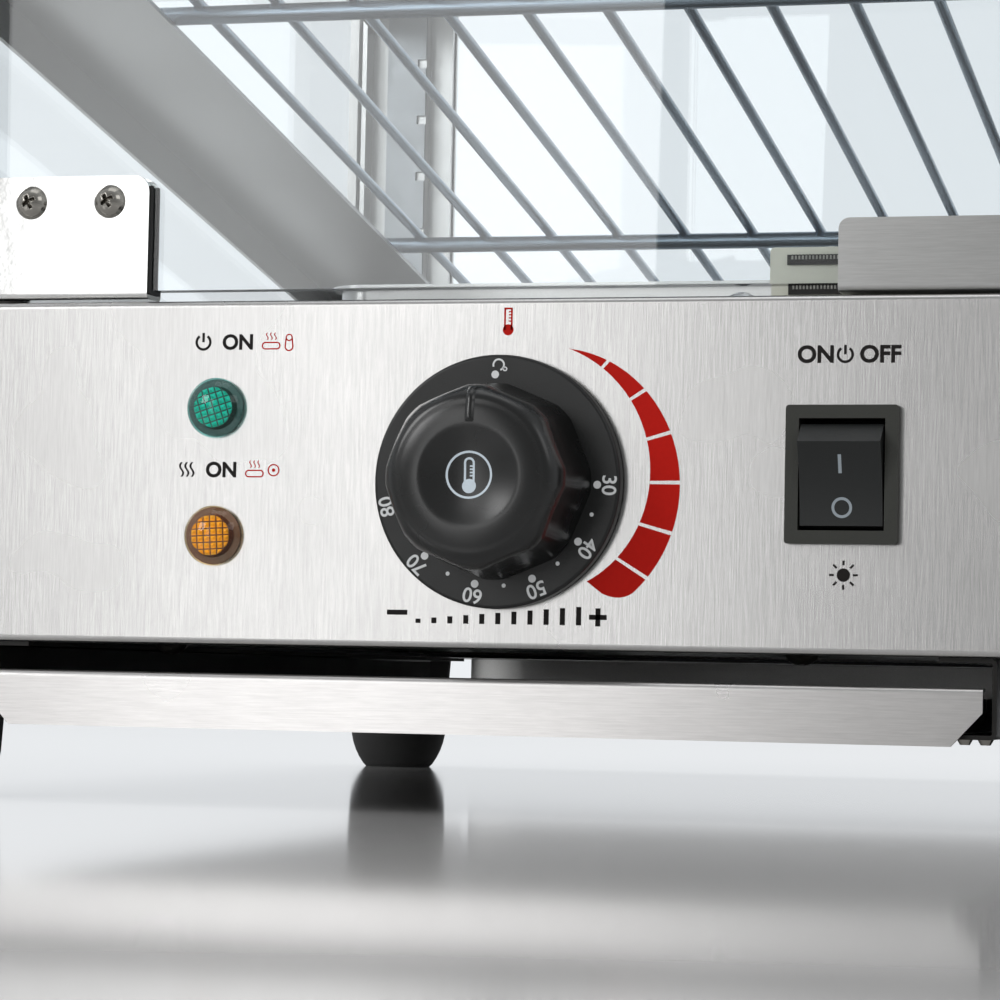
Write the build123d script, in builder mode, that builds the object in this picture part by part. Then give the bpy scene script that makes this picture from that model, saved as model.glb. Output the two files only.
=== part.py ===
from build123d import *
import math
import os

# Countertop heated display case: a sheet-steel base with its control panel, a glazed box of
# three sloping wire shelves behind a hinged glass door, a lamp canopy, and a crumb tray that
# slides under the base. Millimetres, +Z up, the control side faces -Y. The origin is the
# bottom centre of the box that holds the whole case.

os.makedirs("parts", exist_ok=True)

# Whole cabinet
WIDTH = 340.0
DEPTH = 430.0
FOOT_HEIGHT = 38.0
BASE_HEIGHT = 80.6
GLASS_ZONE = 399.4
CANOPY_HEIGHT = 57.0
SHEET = 1.0
FOLD_RADIUS = 1.6
TIGHT_BEND = 1.5
FIT = 0.2
MOVING_GAP = 0.4
RUNNING_GAP = 0.05

# Dial and its shaft
KNOB_X = 8.0
KNOB_RISE = 38.2
SKIRT_GAP = 0.8
SKIRT_THICKNESS = 3.2
SKIRT_RADIUS = 29.0
GRIP_RADIUS = 22.4
GRIP_HEIGHT = 23.5
GRIP_ROUND = 5.0
GRIP_FLUTES = 8
GRIP_TAPER = 4.0
FLUTE_DEPTH = 0.9
FLUTE_RADIUS = 15.0
DISH_RADIUS = 11.6
DISH_DEPTH = 1.9
POINTER_WIDTH = 2.2
POINTER_LENGTH = 10.4
SPINDLE_RADIUS = 3.0
SPINDLE_IN_KNOB = 15.0
SPINDLE_IN_BODY = 14.0

# Thermostat behind the dial
BUSH_RADIUS = 4.8
THERMOSTAT_WIDTH = 36.0
THERMOSTAT_HEIGHT = 34.0
THERMOSTAT_DEPTH = 26.0
TAB_WIDTH = 6.3
TAB_LENGTH = 8.0
SENSOR_RADIUS = 3.0
SENSOR_LENGTH = 90.0
CAPILLARY_RADIUS = 0.9

# Pilot lamps
LAMP_X = -61.2
LAMP_RISE_UPPER = 55.3
LAMP_RISE_LOWER = 25.4
LENS_RADIUS = 7.0
LENS_RIM = 1.4
LENS_DOME = 3.4
LAMP_BODY_RADIUS = 5.4
LAMP_BODY_LENGTH = 24.0
LAMP_NUT_THICKNESS = 1.6
LAMP_NUT_FLATS = 15.0

# Light switch
SWITCH_X = 87.1
SWITCH_RISE = 40.2
BEZEL_WIDTH = 25.4
BEZEL_HEIGHT = 31.0
BEZEL_THICKNESS = 2.5
BEZEL_MOUTH_WIDTH = 19.4
BEZEL_MOUTH_HEIGHT = 25.0
SWITCH_BODY_WIDTH = 22.0
SWITCH_BODY_HEIGHT = 28.6
SWITCH_BODY_DEPTH = 22.0
SWITCH_WALL = 0.8
ROCKER_WIDTH = 18.6
ROCKER_PIVOT_DEPTH = 4.6
ROCKER_RIDGE = 9.55
ROCKER_RIDGE_RISE = 9.0
ROCKER_END = 12.4
ROCKER_END_RISE = 3.5
ROCKER_HOLLOW = 1.0
ROCKER_TILT = 14.0
ROCKER_PIN_RADIUS = 1.4

# Control panel folds and the screws under it
TOP_FLANGE = 28.0
BOTTOM_FLANGE = 20.0
FLANGE_SCREW_X = 76.0
FLANGE_SCREW_DEPTH = 13.0
DOME_HEAD_RADIUS = 4.0
DOME_HEAD_HEIGHT = 2.4
SCREW_RADIUS = 1.9

# Door and its fittings
DOOR_SIDE_GAP = 3.5
DOOR_SETBACK = 3.4
DOOR_GLASS = 5.0
DOOR_RISE = 2.9
DOOR_TOP_GAP = 4.0
GLASS_CORNER = 2.0
PAD_THICKNESS = 0.9
PAD_SHOW = 0.4
CLIP_SHEET = 1.2
CLIP_LENGTH = 52.9
CLIP_HEIGHT = 29.4
CLIP_CORNER = 4.0
CLIP_SCREW_SPACING = 20.0
CLIP_SCREW_INSET = 9.9
CLIP_SCREW_DROP = 6.2
PAN_HEAD_RADIUS = 4.0
PAN_HEAD_HEIGHT = 2.6
PIVOT_INSET = 9.0
PIVOT_RADIUS = 2.5
PIVOT_LENGTH = 7.0
PIVOT_BUSH_RADIUS = 3.8
PIVOT_BUSH_LENGTH = 8.0
PIVOT_PLATE_LENGTH = 24.0
PIVOT_PLATE_WIDTH = 16.0
PIVOT_PLATE_THICKNESS = 0.6
STRIKE_INSET = 6.0
STRIKE_LENGTH = 42.0
STRIKE_HEIGHT = 16.6
STRIKE_CORNER = 2.5
HANDLE_RADIUS = 9.0
HANDLE_REACH = 17.0
HANDLE_NECK_RADIUS = 4.5
HANDLE_INSET = 20.0
HANDLE_RISE = 205.0
HANDLE_WASHER_RADIUS = 7.2

# Magnetic catch and door bumper
CATCH_INSET = 13.1
CATCH_LENGTH = 52.0
CATCH_HEIGHT = 11.9
CATCH_DEPTH = 14.0
CATCH_SCREW_DEPTH = 8.4
CATCH_SCREW_HEAD = 3.0
POLE_HEIGHT = 2.3
POLE_SPACING = 6.6
POLE_RISE = 2.4
POLE_INSET = 4.0
POLE_PROUD = 0.5
BUMPER_INSET = 7.2
BUMPER_RADIUS = 4.0
BUMPER_HEIGHT = 2.2

# Corner posts and fixed glass
POST_WIDTH = 31.5
POST_DEPTH = 16.0
POST_SETBACK = 3.4
POST_EDGE = 2.0
POST_WALL = 1.6
POST_FIN = 8.0
SIDE_GLASS = 4.0
SIDE_GLASS_INSET = 8.0
REAR_GLASS_INSET = 7.0
SEAL_WALL = 1.0
SEAL_HEIGHT = 6.0

# Shelves
SHELF_SLOPE = 10.0
SHELF_SPACING = 118.0
LOWEST_SHELF_RISE = 103.0
SHELF_FRAME_RADIUS = 2.5
SHELF_WIRE_RADIUS = 1.5
SHELF_CORNER = 10.0
SHELF_WIRE_SPACING = 22.0
SHELF_WELD = 0.5
SHELF_END_GAP = 3.0
CROSS_ROD_SPACING = 210.0
LEDGE_WIDTH = 40.0
LEDGE_SHEET = 1.2
LEDGE_LIP = 12.0
TIERS = 3
STANDARD_WIDTH = 14.0
STANDARD_SHEET = 1.2
NOTCH_SIZE = 3.0
NOTCH_SPACING = 20.0

# Heater, the slots over it and the water tray
CHUTE_WIDTH = 200.0
CHUTE_DEPTH = 250.0
SLOT_LENGTH = 44.0
SLOT_WIDTH = 6.0
SLOT_COLUMNS = 3
SLOT_SPACING_X = 64.0
SLOT_SPACING_Y = 26.0
ELEMENT_RADIUS = 3.3
ELEMENT_HALF = 62.0
ELEMENT_BEND = 24.0
ELEMENT_LENGTH = 220.0
ELEMENT_DROP = 26.0
HANGER_THICKNESS = 1.5
HANGER_WIDTH = 30.0
HANGER_SPACING = 150.0
WATER_WIDTH = 170.0
WATER_DEPTH = 120.0
WATER_HEIGHT = 22.0
WATER_WALL = 0.8
WATER_CORNER = 10.0

# Canopy, lamp and its glass
CASE_SCREW_DROP = 16.0
CASE_SCREW_INSET = 27.0
CANOPY_ROUND = 8.0
LINER_LIP = 14.0
LAMP_HOLE_RADIUS = 28.0
LENS_FLANGE_RADIUS = 36.0
LENS_WALL = 2.2
LENS_DROP = 26.0
HOLDER_RADIUS = 14.0
HOLDER_HEIGHT = 24.0
HOLDER_STRAP_WIDTH = 20.0
BULB_RADIUS = 13.0
BULB_CAP_RADIUS = 6.8
BULB_LENGTH = 46.0

# Feet
FOOT_INSET_X = 27.6
FOOT_INSET_FRONT = 25.4
FOOT_INSET_REAR = 19.2
FOOT_TIP_RADIUS = 12.1
FOOT_WAIST_RADIUS = 16.3
FOOT_TOP_RADIUS = 18.0
FOOT_WAIST_RISE = 11.0

# Crumb tray and rails
TRAY_DROP = 6.6
TRAY_STRIP_HEIGHT = 13.0
TRAY_INSET = 51.2
TRAY_CHAMFER_X = 7.0
TRAY_CHAMFER_Z = 7.5
TRAY_HEM = 4.0
TRAY_PAN_INSET = 4.8
TRAY_PAN_DEPTH = 372.0
TRAY_WALL_HEIGHT = 7.5
RAIL_GAP = 1.7
RAIL_SHELF = 12.0
RAIL_DROP = 18.0
RAIL_SETBACK = 3.0
RIVET_RADIUS = 1.8
RIVET_HEIGHT = 1.2
RIVET_TIP_RADIUS = 1.1
RIVET_SPACING = 4.6

# Rear panel
VENT_LENGTH = 44.0
VENT_WIDTH = 4.0
VENT_SPACING = 11.0
VENT_COUNT = 4
GLAND_RADIUS = 10.0
GLAND_CAP_RADIUS = 7.5
GLAND_REACH = 17.0
GLAND_NECK = 7.0
GLAND_BORE = 4.0
GLAND_NUT = 5.0
GLAND_INSET = 46.0
GLAND_RISE = 24.0
TERMINAL_LENGTH = 40.0
TERMINAL_WIDTH = 18.0
TERMINAL_HEIGHT = 16.0

# Levels and planes that follow from the sizes above
BASE_BOTTOM = FOOT_HEIGHT
BASE_TOP = BASE_BOTTOM + BASE_HEIGHT
DECK_TOP = BASE_TOP - SHEET
CEILING = BASE_TOP + GLASS_ZONE
CANOPY_TOP = CEILING + CANOPY_HEIGHT
HALF = WIDTH / 2
KNOB_REACH = SKIRT_GAP + SKIRT_THICKNESS + GRIP_HEIGHT
FACE = (KNOB_REACH - GLAND_REACH - DEPTH) / 2
REAR = FACE + DEPTH
MIDDLE = (FACE + REAR) / 2

KNOB_Z = BASE_BOTTOM + KNOB_RISE
SWITCH_Z = BASE_BOTTOM + SWITCH_RISE
LAMP_LEVELS = (BASE_BOTTOM + LAMP_RISE_UPPER, BASE_BOTTOM + LAMP_RISE_LOWER)

POST_OUTER = HALF - POST_EDGE
POST_INNER = POST_OUTER - POST_WIDTH
POST_FRONT = FACE + POST_SETBACK
POST_BACK = POST_FRONT + POST_DEPTH
REAR_POST_FRONT = REAR - POST_SETBACK - POST_DEPTH
SIDE_GLASS_X = POST_OUTER - SIDE_GLASS_INSET
REAR_GLASS_Y = REAR - POST_SETBACK - REAR_GLASS_INSET

DOOR_FRONT = FACE + DOOR_SETBACK
DOOR_MIDDLE = DOOR_FRONT + DOOR_GLASS / 2
DOOR_BOTTOM = BASE_TOP + DOOR_RISE
DOOR_TOP = CEILING - DOOR_TOP_GAP
DOOR_RIGHT = POST_INNER - DOOR_SIDE_GAP
DOOR_LEFT = -DOOR_RIGHT
CLIP_OUTSIDE = DOOR_GLASS / 2 + PAD_THICKNESS + CLIP_SHEET
CLIP_BOTTOM = DOOR_BOTTOM - PAD_THICKNESS - CLIP_SHEET
CLIP_RIGHT = DOOR_LEFT + CLIP_LENGTH
PIVOT_X = DOOR_LEFT + PIVOT_INSET
STRIKE_LEFT = DOOR_RIGHT - STRIKE_INSET - STRIKE_LENGTH
CATCH_LEFT = DOOR_RIGHT - CATCH_INSET - CATCH_LENGTH
BUMPER_X = CATCH_LEFT - BUMPER_INSET

TRAY_HALF_WIDTH = HALF - TRAY_INSET
TRAY_PAN_HALF = TRAY_HALF_WIDTH - TRAY_PAN_INSET
RAIL_LEG = TRAY_HALF_WIDTH + RAIL_GAP

BASE_SCREW_Z = BASE_TOP - CASE_SCREW_DROP
CANOPY_SCREW_Z = CEILING + LINER_LIP / 2
CASE_SCREW_YS = (FACE + CASE_SCREW_INSET, REAR - CASE_SCREW_INSET)


def finish(piece, label):
    """Name one finished piece and write its file."""
    piece.part.label = label
    export_step(piece.part, "parts/" + label + ".step")


def upright(x, y, turned=False):
    """A plane that looks along the cabinet's depth, with its own X across and Y up."""
    if turned:
        return Plane(origin=(x, y, 0), x_dir=(-1, 0, 0), z_dir=(0, 1, 0))
    return Plane(origin=(x, y, 0), x_dir=(1, 0, 0), z_dir=(0, -1, 0))


def folded(points, radius, thickness, side, start_x, length):
    """One bent sheet: a line of folds in Y and Z, given its thickness and drawn out along X."""
    with BuildPart() as sheet:
        with BuildSketch(Plane.YZ.offset(start_x)):
            with BuildLine():
                FilletPolyline(*points, radius=radius)
                offset(amount=thickness, side=side)
            make_face()
        extrude(amount=length)
    return sheet.part


def dome_middle(radius, height):
    """Radius and height of the point halfway along the side of a dome that is flat at its top."""
    ball = (radius**2 + height**2) / (2 * height)
    half_turn = math.atan2(radius, ball - height) / 2
    return ball * math.sin(half_turn), height - ball * (1 - math.cos(half_turn))


def headed_screw(head_radius, head_height, shank_length):
    """A dome-headed screw: its head stands on Z = 0 and its shank runs down."""
    with BuildPart() as screw:
        with BuildSketch(Plane.XZ):
            with BuildLine():
                Line((0, -shank_length), (0, head_height))
                ThreePointArc((0, head_height), dome_middle(head_radius, head_height), (head_radius, 0))
                Polyline(
                    (head_radius, 0),
                    (SCREW_RADIUS, 0),
                    (SCREW_RADIUS, -shank_length),
                    (0, -shank_length),
                )
            make_face()
        revolve(axis=Axis.Z)
    return screw.part


# Control panel: one sheet, folded back over the deck and under the base
panel_line = [
    (FACE + TOP_FLANGE, BASE_TOP),
    (FACE, BASE_TOP),
    (FACE, BASE_BOTTOM),
    (FACE + BOTTOM_FLANGE, BASE_BOTTOM),
]
with BuildPart() as control_panel:
    add(folded(panel_line, FOLD_RADIUS, SHEET, Side.LEFT, -HALF, WIDTH))
    with BuildSketch(Plane.XY.offset(BASE_BOTTOM)):
        for way in (-1, 1):
            with Locations((way * HALF, FACE + SHEET + BOTTOM_FLANGE)):
                Rectangle(2 * (SHEET + FIT), 2 * BOTTOM_FLANGE)
    extrude(amount=BASE_HEIGHT, mode=Mode.SUBTRACT)
    with BuildSketch(Plane.XY.offset(DECK_TOP)):
        for way in (-1, 1):
            with Locations((way * POST_OUTER, POST_FRONT + TOP_FLANGE - FIT)):
                Rectangle(2 * (POST_WIDTH + FIT), 2 * TOP_FLANGE)
    extrude(amount=SHEET, mode=Mode.SUBTRACT)
    with BuildSketch(upright(0, FACE)):
        with Locations((KNOB_X, KNOB_Z)):
            Circle(BUSH_RADIUS + FIT)
        with Locations(*[(LAMP_X, level) for level in LAMP_LEVELS]):
            Circle(LAMP_BODY_RADIUS + FIT)
        with Locations((SWITCH_X, SWITCH_Z)):
            Rectangle(SWITCH_BODY_WIDTH + FIT, SWITCH_BODY_HEIGHT + FIT)
    extrude(amount=-2 * SHEET, mode=Mode.SUBTRACT)
    with BuildSketch(Plane.XY.offset(BASE_BOTTOM)):
        for way in (-1, 1):
            with Locations((way * FLANGE_SCREW_X, FACE + FLANGE_SCREW_DEPTH)):
                Circle(SCREW_RADIUS)
    extrude(amount=SHEET, mode=Mode.SUBTRACT)
    with BuildSketch(Plane.XY.offset(BASE_TOP)):
        with Locations((PIVOT_X, DOOR_MIDDLE)):
            Circle(PIVOT_BUSH_RADIUS)
    extrude(amount=-FOLD_RADIUS, mode=Mode.SUBTRACT)
finish(control_panel, "control_panel")

# Base walls: two plain sides, and the back with its vents, cord hole and the apron behind the tray
for way, name in ((-1, "base_side_left"), (1, "base_side_right")):
    with BuildPart() as base_side:
        with BuildSketch(Plane.YZ.offset(way * HALF)):
            with Locations(((FACE + SHEET + REAR - SHEET) / 2, BASE_BOTTOM + BASE_HEIGHT / 2)):
                Rectangle(DEPTH - 2 * SHEET, BASE_HEIGHT)
            with Locations(*[(y, BASE_SCREW_Z) for y in CASE_SCREW_YS]):
                Circle(SCREW_RADIUS, mode=Mode.SUBTRACT)
        extrude(amount=-way * SHEET)
    finish(base_side, name)

with BuildPart() as base_back:
    with BuildSketch(upright(0, REAR - SHEET, turned=True)):
        with Locations((0, BASE_BOTTOM + BASE_HEIGHT / 2)):
            Rectangle(WIDTH, BASE_HEIGHT)
        with Locations((0, BASE_BOTTOM - RAIL_DROP / 2)):
            Rectangle(2 * (RAIL_LEG + SHEET), RAIL_DROP)
        with Locations((0, BASE_BOTTOM + BASE_HEIGHT / 2)):
            with GridLocations(2 * VENT_LENGTH, VENT_SPACING, 2, VENT_COUNT):
                SlotOverall(VENT_LENGTH, VENT_WIDTH, mode=Mode.SUBTRACT)
        with Locations((GLAND_INSET - HALF, BASE_BOTTOM + GLAND_RISE)):
            Circle(GLAND_NECK, mode=Mode.SUBTRACT)
    extrude(amount=SHEET)
finish(base_back, "base_back")

# Bottom plate: it laps over the panel's lower fold, and its window lets crumbs fall through
lap = FACE + BOTTOM_FLANGE + FIT
bottom_line = [
    (FACE + FOLD_RADIUS + SHEET, BASE_BOTTOM + SHEET),
    (lap, BASE_BOTTOM + SHEET),
    (lap, BASE_BOTTOM),
    (REAR - SHEET, BASE_BOTTOM),
    (REAR - SHEET, BASE_BOTTOM + SHEET),
    (lap + SHEET, BASE_BOTTOM + SHEET),
    (lap + SHEET, BASE_BOTTOM + 2 * SHEET),
    (FACE + FOLD_RADIUS + SHEET, BASE_BOTTOM + 2 * SHEET),
]
foot_places = [
    (way * (HALF - FOOT_INSET_X), y)
    for way in (-1, 1)
    for y in (FACE + FOOT_INSET_FRONT, REAR - FOOT_INSET_REAR)
]
flange_screw_places = [(way * FLANGE_SCREW_X, FACE + FLANGE_SCREW_DEPTH) for way in (-1, 1)]
with BuildPart() as bottom_plate:
    with BuildSketch(Plane.YZ.offset(SHEET - HALF)):
        Polygon(*bottom_line, align=None)
    extrude(amount=WIDTH - 2 * SHEET)
    with BuildSketch(Plane.XY.offset(BASE_BOTTOM)):
        with Locations((0, MIDDLE)):
            Rectangle(CHUTE_WIDTH, CHUTE_DEPTH)
        with Locations(*foot_places, *flange_screw_places):
            Circle(SCREW_RADIUS)
    extrude(amount=2 * SHEET, mode=Mode.SUBTRACT)
finish(bottom_plate, "bottom_plate")

# Deck: the floor of the heated space, slotted over the heating element
slot_rows = int(CHUTE_DEPTH // SLOT_SPACING_Y)
with BuildPart() as deck_plate:
    with BuildSketch(Plane.XY.offset(DECK_TOP)):
        with Locations((0, (FACE + FOLD_RADIUS + REAR - SHEET) / 2)):
            Rectangle(WIDTH - 2 * SHEET, DEPTH - FOLD_RADIUS - SHEET)
        with Locations((0, MIDDLE)):
            with GridLocations(SLOT_SPACING_X, SLOT_SPACING_Y, SLOT_COLUMNS, slot_rows):
                SlotOverall(SLOT_LENGTH, SLOT_WIDTH, mode=Mode.SUBTRACT)
        with Locations((PIVOT_X, DOOR_MIDDLE)):
            Circle(PIVOT_BUSH_RADIUS, mode=Mode.SUBTRACT)
    extrude(amount=-SHEET)
finish(deck_plate, "deck_plate")

# Corner posts: a box section with fins that hold the edges of the glass
fin_offset = SIDE_GLASS / 2 + FIT + POST_WALL / 2
for way_y, name in ((-1, "posts_front"), (1, "posts_rear")):
    post_y = MIDDLE + way_y * (DEPTH / 2 - POST_SETBACK - POST_DEPTH / 2)
    fin_y = post_y - way_y * (POST_DEPTH + POST_FIN) / 2
    with BuildPart() as corner_posts:
        with BuildSketch(Plane.XY.offset(DECK_TOP)):
            for way_x in (-1, 1):
                with Locations((way_x * (POST_OUTER + POST_INNER) / 2, post_y)):
                    Rectangle(POST_WIDTH, POST_DEPTH)
                    Rectangle(POST_WIDTH - 2 * POST_WALL, POST_DEPTH - 2 * POST_WALL, mode=Mode.SUBTRACT)
                for step in (-1, 1):
                    with Locations((way_x * SIDE_GLASS_X + step * fin_offset, fin_y)):
                        Rectangle(POST_WALL, POST_FIN)
                    if way_y > 0:
                        rear_fin = (way_x * (POST_INNER - POST_FIN / 2), REAR_GLASS_Y + step * fin_offset)
                        with Locations(rear_fin):
                            Rectangle(POST_FIN, POST_WALL)
        extrude(amount=CEILING - DECK_TOP)
    finish(corner_posts, name)

# Fixed glass and the rubber channels that it stands in
glass_foot = DECK_TOP + SEAL_WALL
glass_head = CEILING - FIT
side_glass_length = REAR_POST_FRONT - POST_BACK - 2 * FIT
for way, name in ((-1, "side_glass_left"), (1, "side_glass_right")):
    with BuildPart() as side_glass:
        with BuildSketch(Plane.XY.offset(glass_foot)):
            with Locations((way * SIDE_GLASS_X, MIDDLE)):
                Rectangle(SIDE_GLASS, side_glass_length)
        extrude(amount=glass_head - glass_foot)
    finish(side_glass, name)

with BuildPart() as rear_glass:
    with BuildSketch(Plane.XY.offset(glass_foot)):
        with Locations((0, REAR_GLASS_Y)):
            Rectangle(2 * (POST_INNER - FIT), SIDE_GLASS)
    extrude(amount=glass_head - glass_foot)
finish(rear_glass, "rear_glass")

seal_side_length = side_glass_length - 2 * POST_FIN
seal_rear_length = 2 * (POST_INNER - POST_FIN - FIT)
with BuildPart() as glass_seals:
    with BuildSketch(Plane.XY.offset(DECK_TOP)):
        for way in (-1, 1):
            with Locations((way * SIDE_GLASS_X, MIDDLE)):
                Rectangle(SIDE_GLASS + 2 * SEAL_WALL, seal_side_length)
        with Locations((0, REAR_GLASS_Y)):
            Rectangle(seal_rear_length, SIDE_GLASS + 2 * SEAL_WALL)
    extrude(amount=SEAL_HEIGHT)
    with BuildSketch(Plane.XY.offset(glass_foot)):
        for way in (-1, 1):
            with Locations((way * SIDE_GLASS_X, MIDDLE)):
                Rectangle(SIDE_GLASS, seal_side_length)
        with Locations((0, REAR_GLASS_Y)):
            Rectangle(seal_rear_length, SIDE_GLASS)
    extrude(amount=SEAL_HEIGHT, mode=Mode.SUBTRACT)
finish(glass_seals, "glass_seals")

# Notched strips on the posts, which carry the shelf ledges
standard_x = POST_INNER + STANDARD_WIDTH / 2
notch_count = int((GLASS_ZONE - NOTCH_SPACING) // NOTCH_SPACING)
with BuildPart() as shelf_standards:
    for way_y in (-1, 1):
        strip_y = MIDDLE + way_y * (DEPTH / 2 - POST_SETBACK - POST_DEPTH)
        with BuildSketch(Plane.XZ.offset(-strip_y)):
            for way_x in (-1, 1):
                with Locations((way_x * standard_x, (DECK_TOP + CEILING) / 2)):
                    Rectangle(STANDARD_WIDTH, CEILING - DECK_TOP)
                    with Locations((-way_x * STANDARD_WIDTH / 2, 0)):
                        with GridLocations(0, NOTCH_SPACING, 1, notch_count):
                            Rectangle(2 * NOTCH_SIZE, NOTCH_SIZE, mode=Mode.SUBTRACT)
        extrude(amount=way_y * STANDARD_SHEET)
finish(shelf_standards, "shelf_standards")

# Sloping ledges: the front end is the high one
ledge_front = POST_BACK + STANDARD_SHEET
ledge_rear = REAR_POST_FRONT - STANDARD_SHEET
ledge_outer = SIDE_GLASS_X - SIDE_GLASS / 2 - FIT - POST_WALL - FIT
ledge_fall = (ledge_rear - ledge_front) * math.tan(math.radians(SHELF_SLOPE))
ledge_drop = LEDGE_SHEET / math.cos(math.radians(SHELF_SLOPE))
ledge_levels = [BASE_TOP + LOWEST_SHELF_RISE + tier * SHELF_SPACING for tier in range(TIERS)]


def slope_outline(level, deep):
    """The side view, in Y and Z, of a strip that follows the shelf's slope."""
    return [
        (ledge_front, level),
        (ledge_rear, level - ledge_fall),
        (ledge_rear, level - ledge_fall - deep),
        (ledge_front, level - deep),
    ]


with BuildPart() as shelf_ledges:
    for way in (-1, 1):
        for level in ledge_levels:
            with BuildSketch(Plane.YZ.offset(way * ledge_outer)):
                Polygon(*slope_outline(level, ledge_drop), align=None)
            extrude(amount=-way * LEDGE_WIDTH)
            with BuildSketch(Plane.YZ.offset(way * ledge_outer)):
                Polygon(*slope_outline(level, LEDGE_LIP), align=None)
            extrude(amount=-way * LEDGE_SHEET)
finish(shelf_ledges, "shelf_ledges")

# Wire shelves: a bent frame rod, cross rods, and the depth wires welded on top of them
shelf_half_width = ledge_outer - FIT - SHELF_FRAME_RADIUS
shelf_run = (ledge_rear - ledge_front) / math.cos(math.radians(SHELF_SLOPE)) - 2 * SHELF_END_GAP
shelf_half_length = shelf_run / 2 - SHELF_FRAME_RADIUS
wire_rise = SHELF_FRAME_RADIUS + SHELF_WIRE_RADIUS - SHELF_WELD
wires_each_side = int((shelf_half_width - SHELF_WIRE_SPACING / 2) // SHELF_WIRE_SPACING)
wire_places = [SHELF_WIRE_SPACING * step for step in range(-wires_each_side, wires_each_side + 1)]
cross_places = [way * CROSS_ROD_SPACING / 2 for way in (-1, 1)]
slope = math.radians(SHELF_SLOPE)
tier_names = ("shelf_lower", "shelf_middle", "shelf_upper")
for level, name in zip(ledge_levels, tier_names):
    seat = level - ledge_fall / 2 + SHELF_FRAME_RADIUS / math.cos(slope)
    centre = Vector(0, MIDDLE, seat)
    along = Vector(0, math.cos(slope), -math.sin(slope))
    normal = Vector(0, math.sin(slope), math.cos(slope))
    rack_plane = Plane(origin=centre, x_dir=(1, 0, 0), z_dir=normal)
    rod_start = centre - Vector(shelf_half_width, 0, 0)
    with BuildPart() as wire_shelf:
        with BuildSketch(Plane(origin=centre - along * shelf_half_length, x_dir=(-1, 0, 0), z_dir=along)):
            with Locations(*[(x, wire_rise) for x in wire_places]):
                Circle(SHELF_WIRE_RADIUS)
        extrude(amount=2 * shelf_half_length)
        with BuildSketch(Plane(origin=rod_start, x_dir=along, z_dir=(1, 0, 0))):
            with Locations(*[(y, 0) for y in cross_places]):
                Circle(SHELF_FRAME_RADIUS)
        extrude(amount=2 * shelf_half_width)
        with BuildLine(rack_plane) as frame_line:
            FilletPolyline(
                (-shelf_half_width, -shelf_half_length),
                (shelf_half_width, -shelf_half_length),
                (shelf_half_width, shelf_half_length),
                (-shelf_half_width, shelf_half_length),
                radius=SHELF_CORNER,
                close=True,
            )
        frame_wire = frame_line.wires()[0]
        with BuildSketch(Plane(origin=frame_wire @ 0, z_dir=frame_wire % 0)):
            Circle(SHELF_FRAME_RADIUS)
        sweep(path=frame_wire)
    finish(wire_shelf, name)

# Canopy: a folded cap open below, closed by the liner that carries the lamp
with BuildPart() as canopy_shell:
    with BuildSketch(Plane.XY.offset(CEILING)):
        with Locations((0, MIDDLE)):
            Rectangle(WIDTH, DEPTH)
    extrude(amount=CANOPY_HEIGHT)
    fillet(canopy_shell.edges().filter_by(Axis.Z), radius=CANOPY_ROUND)
    fillet(canopy_shell.faces().sort_by(Axis.Z)[-1].edges(), radius=CANOPY_ROUND)
    offset(amount=-SHEET, openings=canopy_shell.faces().sort_by(Axis.Z)[0])
    with BuildSketch(Plane.YZ):
        with Locations(*[(y, CANOPY_SCREW_Z) for y in CASE_SCREW_YS]):
            Circle(SCREW_RADIUS)
    extrude(amount=WIDTH, both=True, mode=Mode.SUBTRACT)
finish(canopy_shell, "canopy_shell")

liner_width = WIDTH - 2 * SHEET
liner_depth = DEPTH - 2 * SHEET
liner_round = CANOPY_ROUND - SHEET
with BuildPart() as canopy_liner:
    with BuildSketch(Plane.XY.offset(CEILING)):
        with Locations((0, MIDDLE)):
            RectangleRounded(liner_width, liner_depth, liner_round)
    extrude(amount=LINER_LIP)
    with BuildSketch(Plane.XY.offset(CEILING + SHEET)):
        with Locations((0, MIDDLE)):
            RectangleRounded(liner_width - 2 * SHEET, liner_depth - 2 * SHEET, liner_round - SHEET)
    extrude(amount=LINER_LIP, mode=Mode.SUBTRACT)
    with BuildSketch(Plane.XY.offset(CEILING)):
        with Locations((0, MIDDLE)):
            Circle(LAMP_HOLE_RADIUS)
        with Locations((PIVOT_X, DOOR_MIDDLE)):
            Circle(PIVOT_BUSH_RADIUS)
    extrude(amount=SHEET, mode=Mode.SUBTRACT)
    with BuildSketch(Plane.YZ):
        with Locations(*[(y, CANOPY_SCREW_Z) for y in CASE_SCREW_YS]):
            Circle(SCREW_RADIUS)
    extrude(amount=WIDTH, both=True, mode=Mode.SUBTRACT)
finish(canopy_liner, "canopy_liner")

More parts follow.
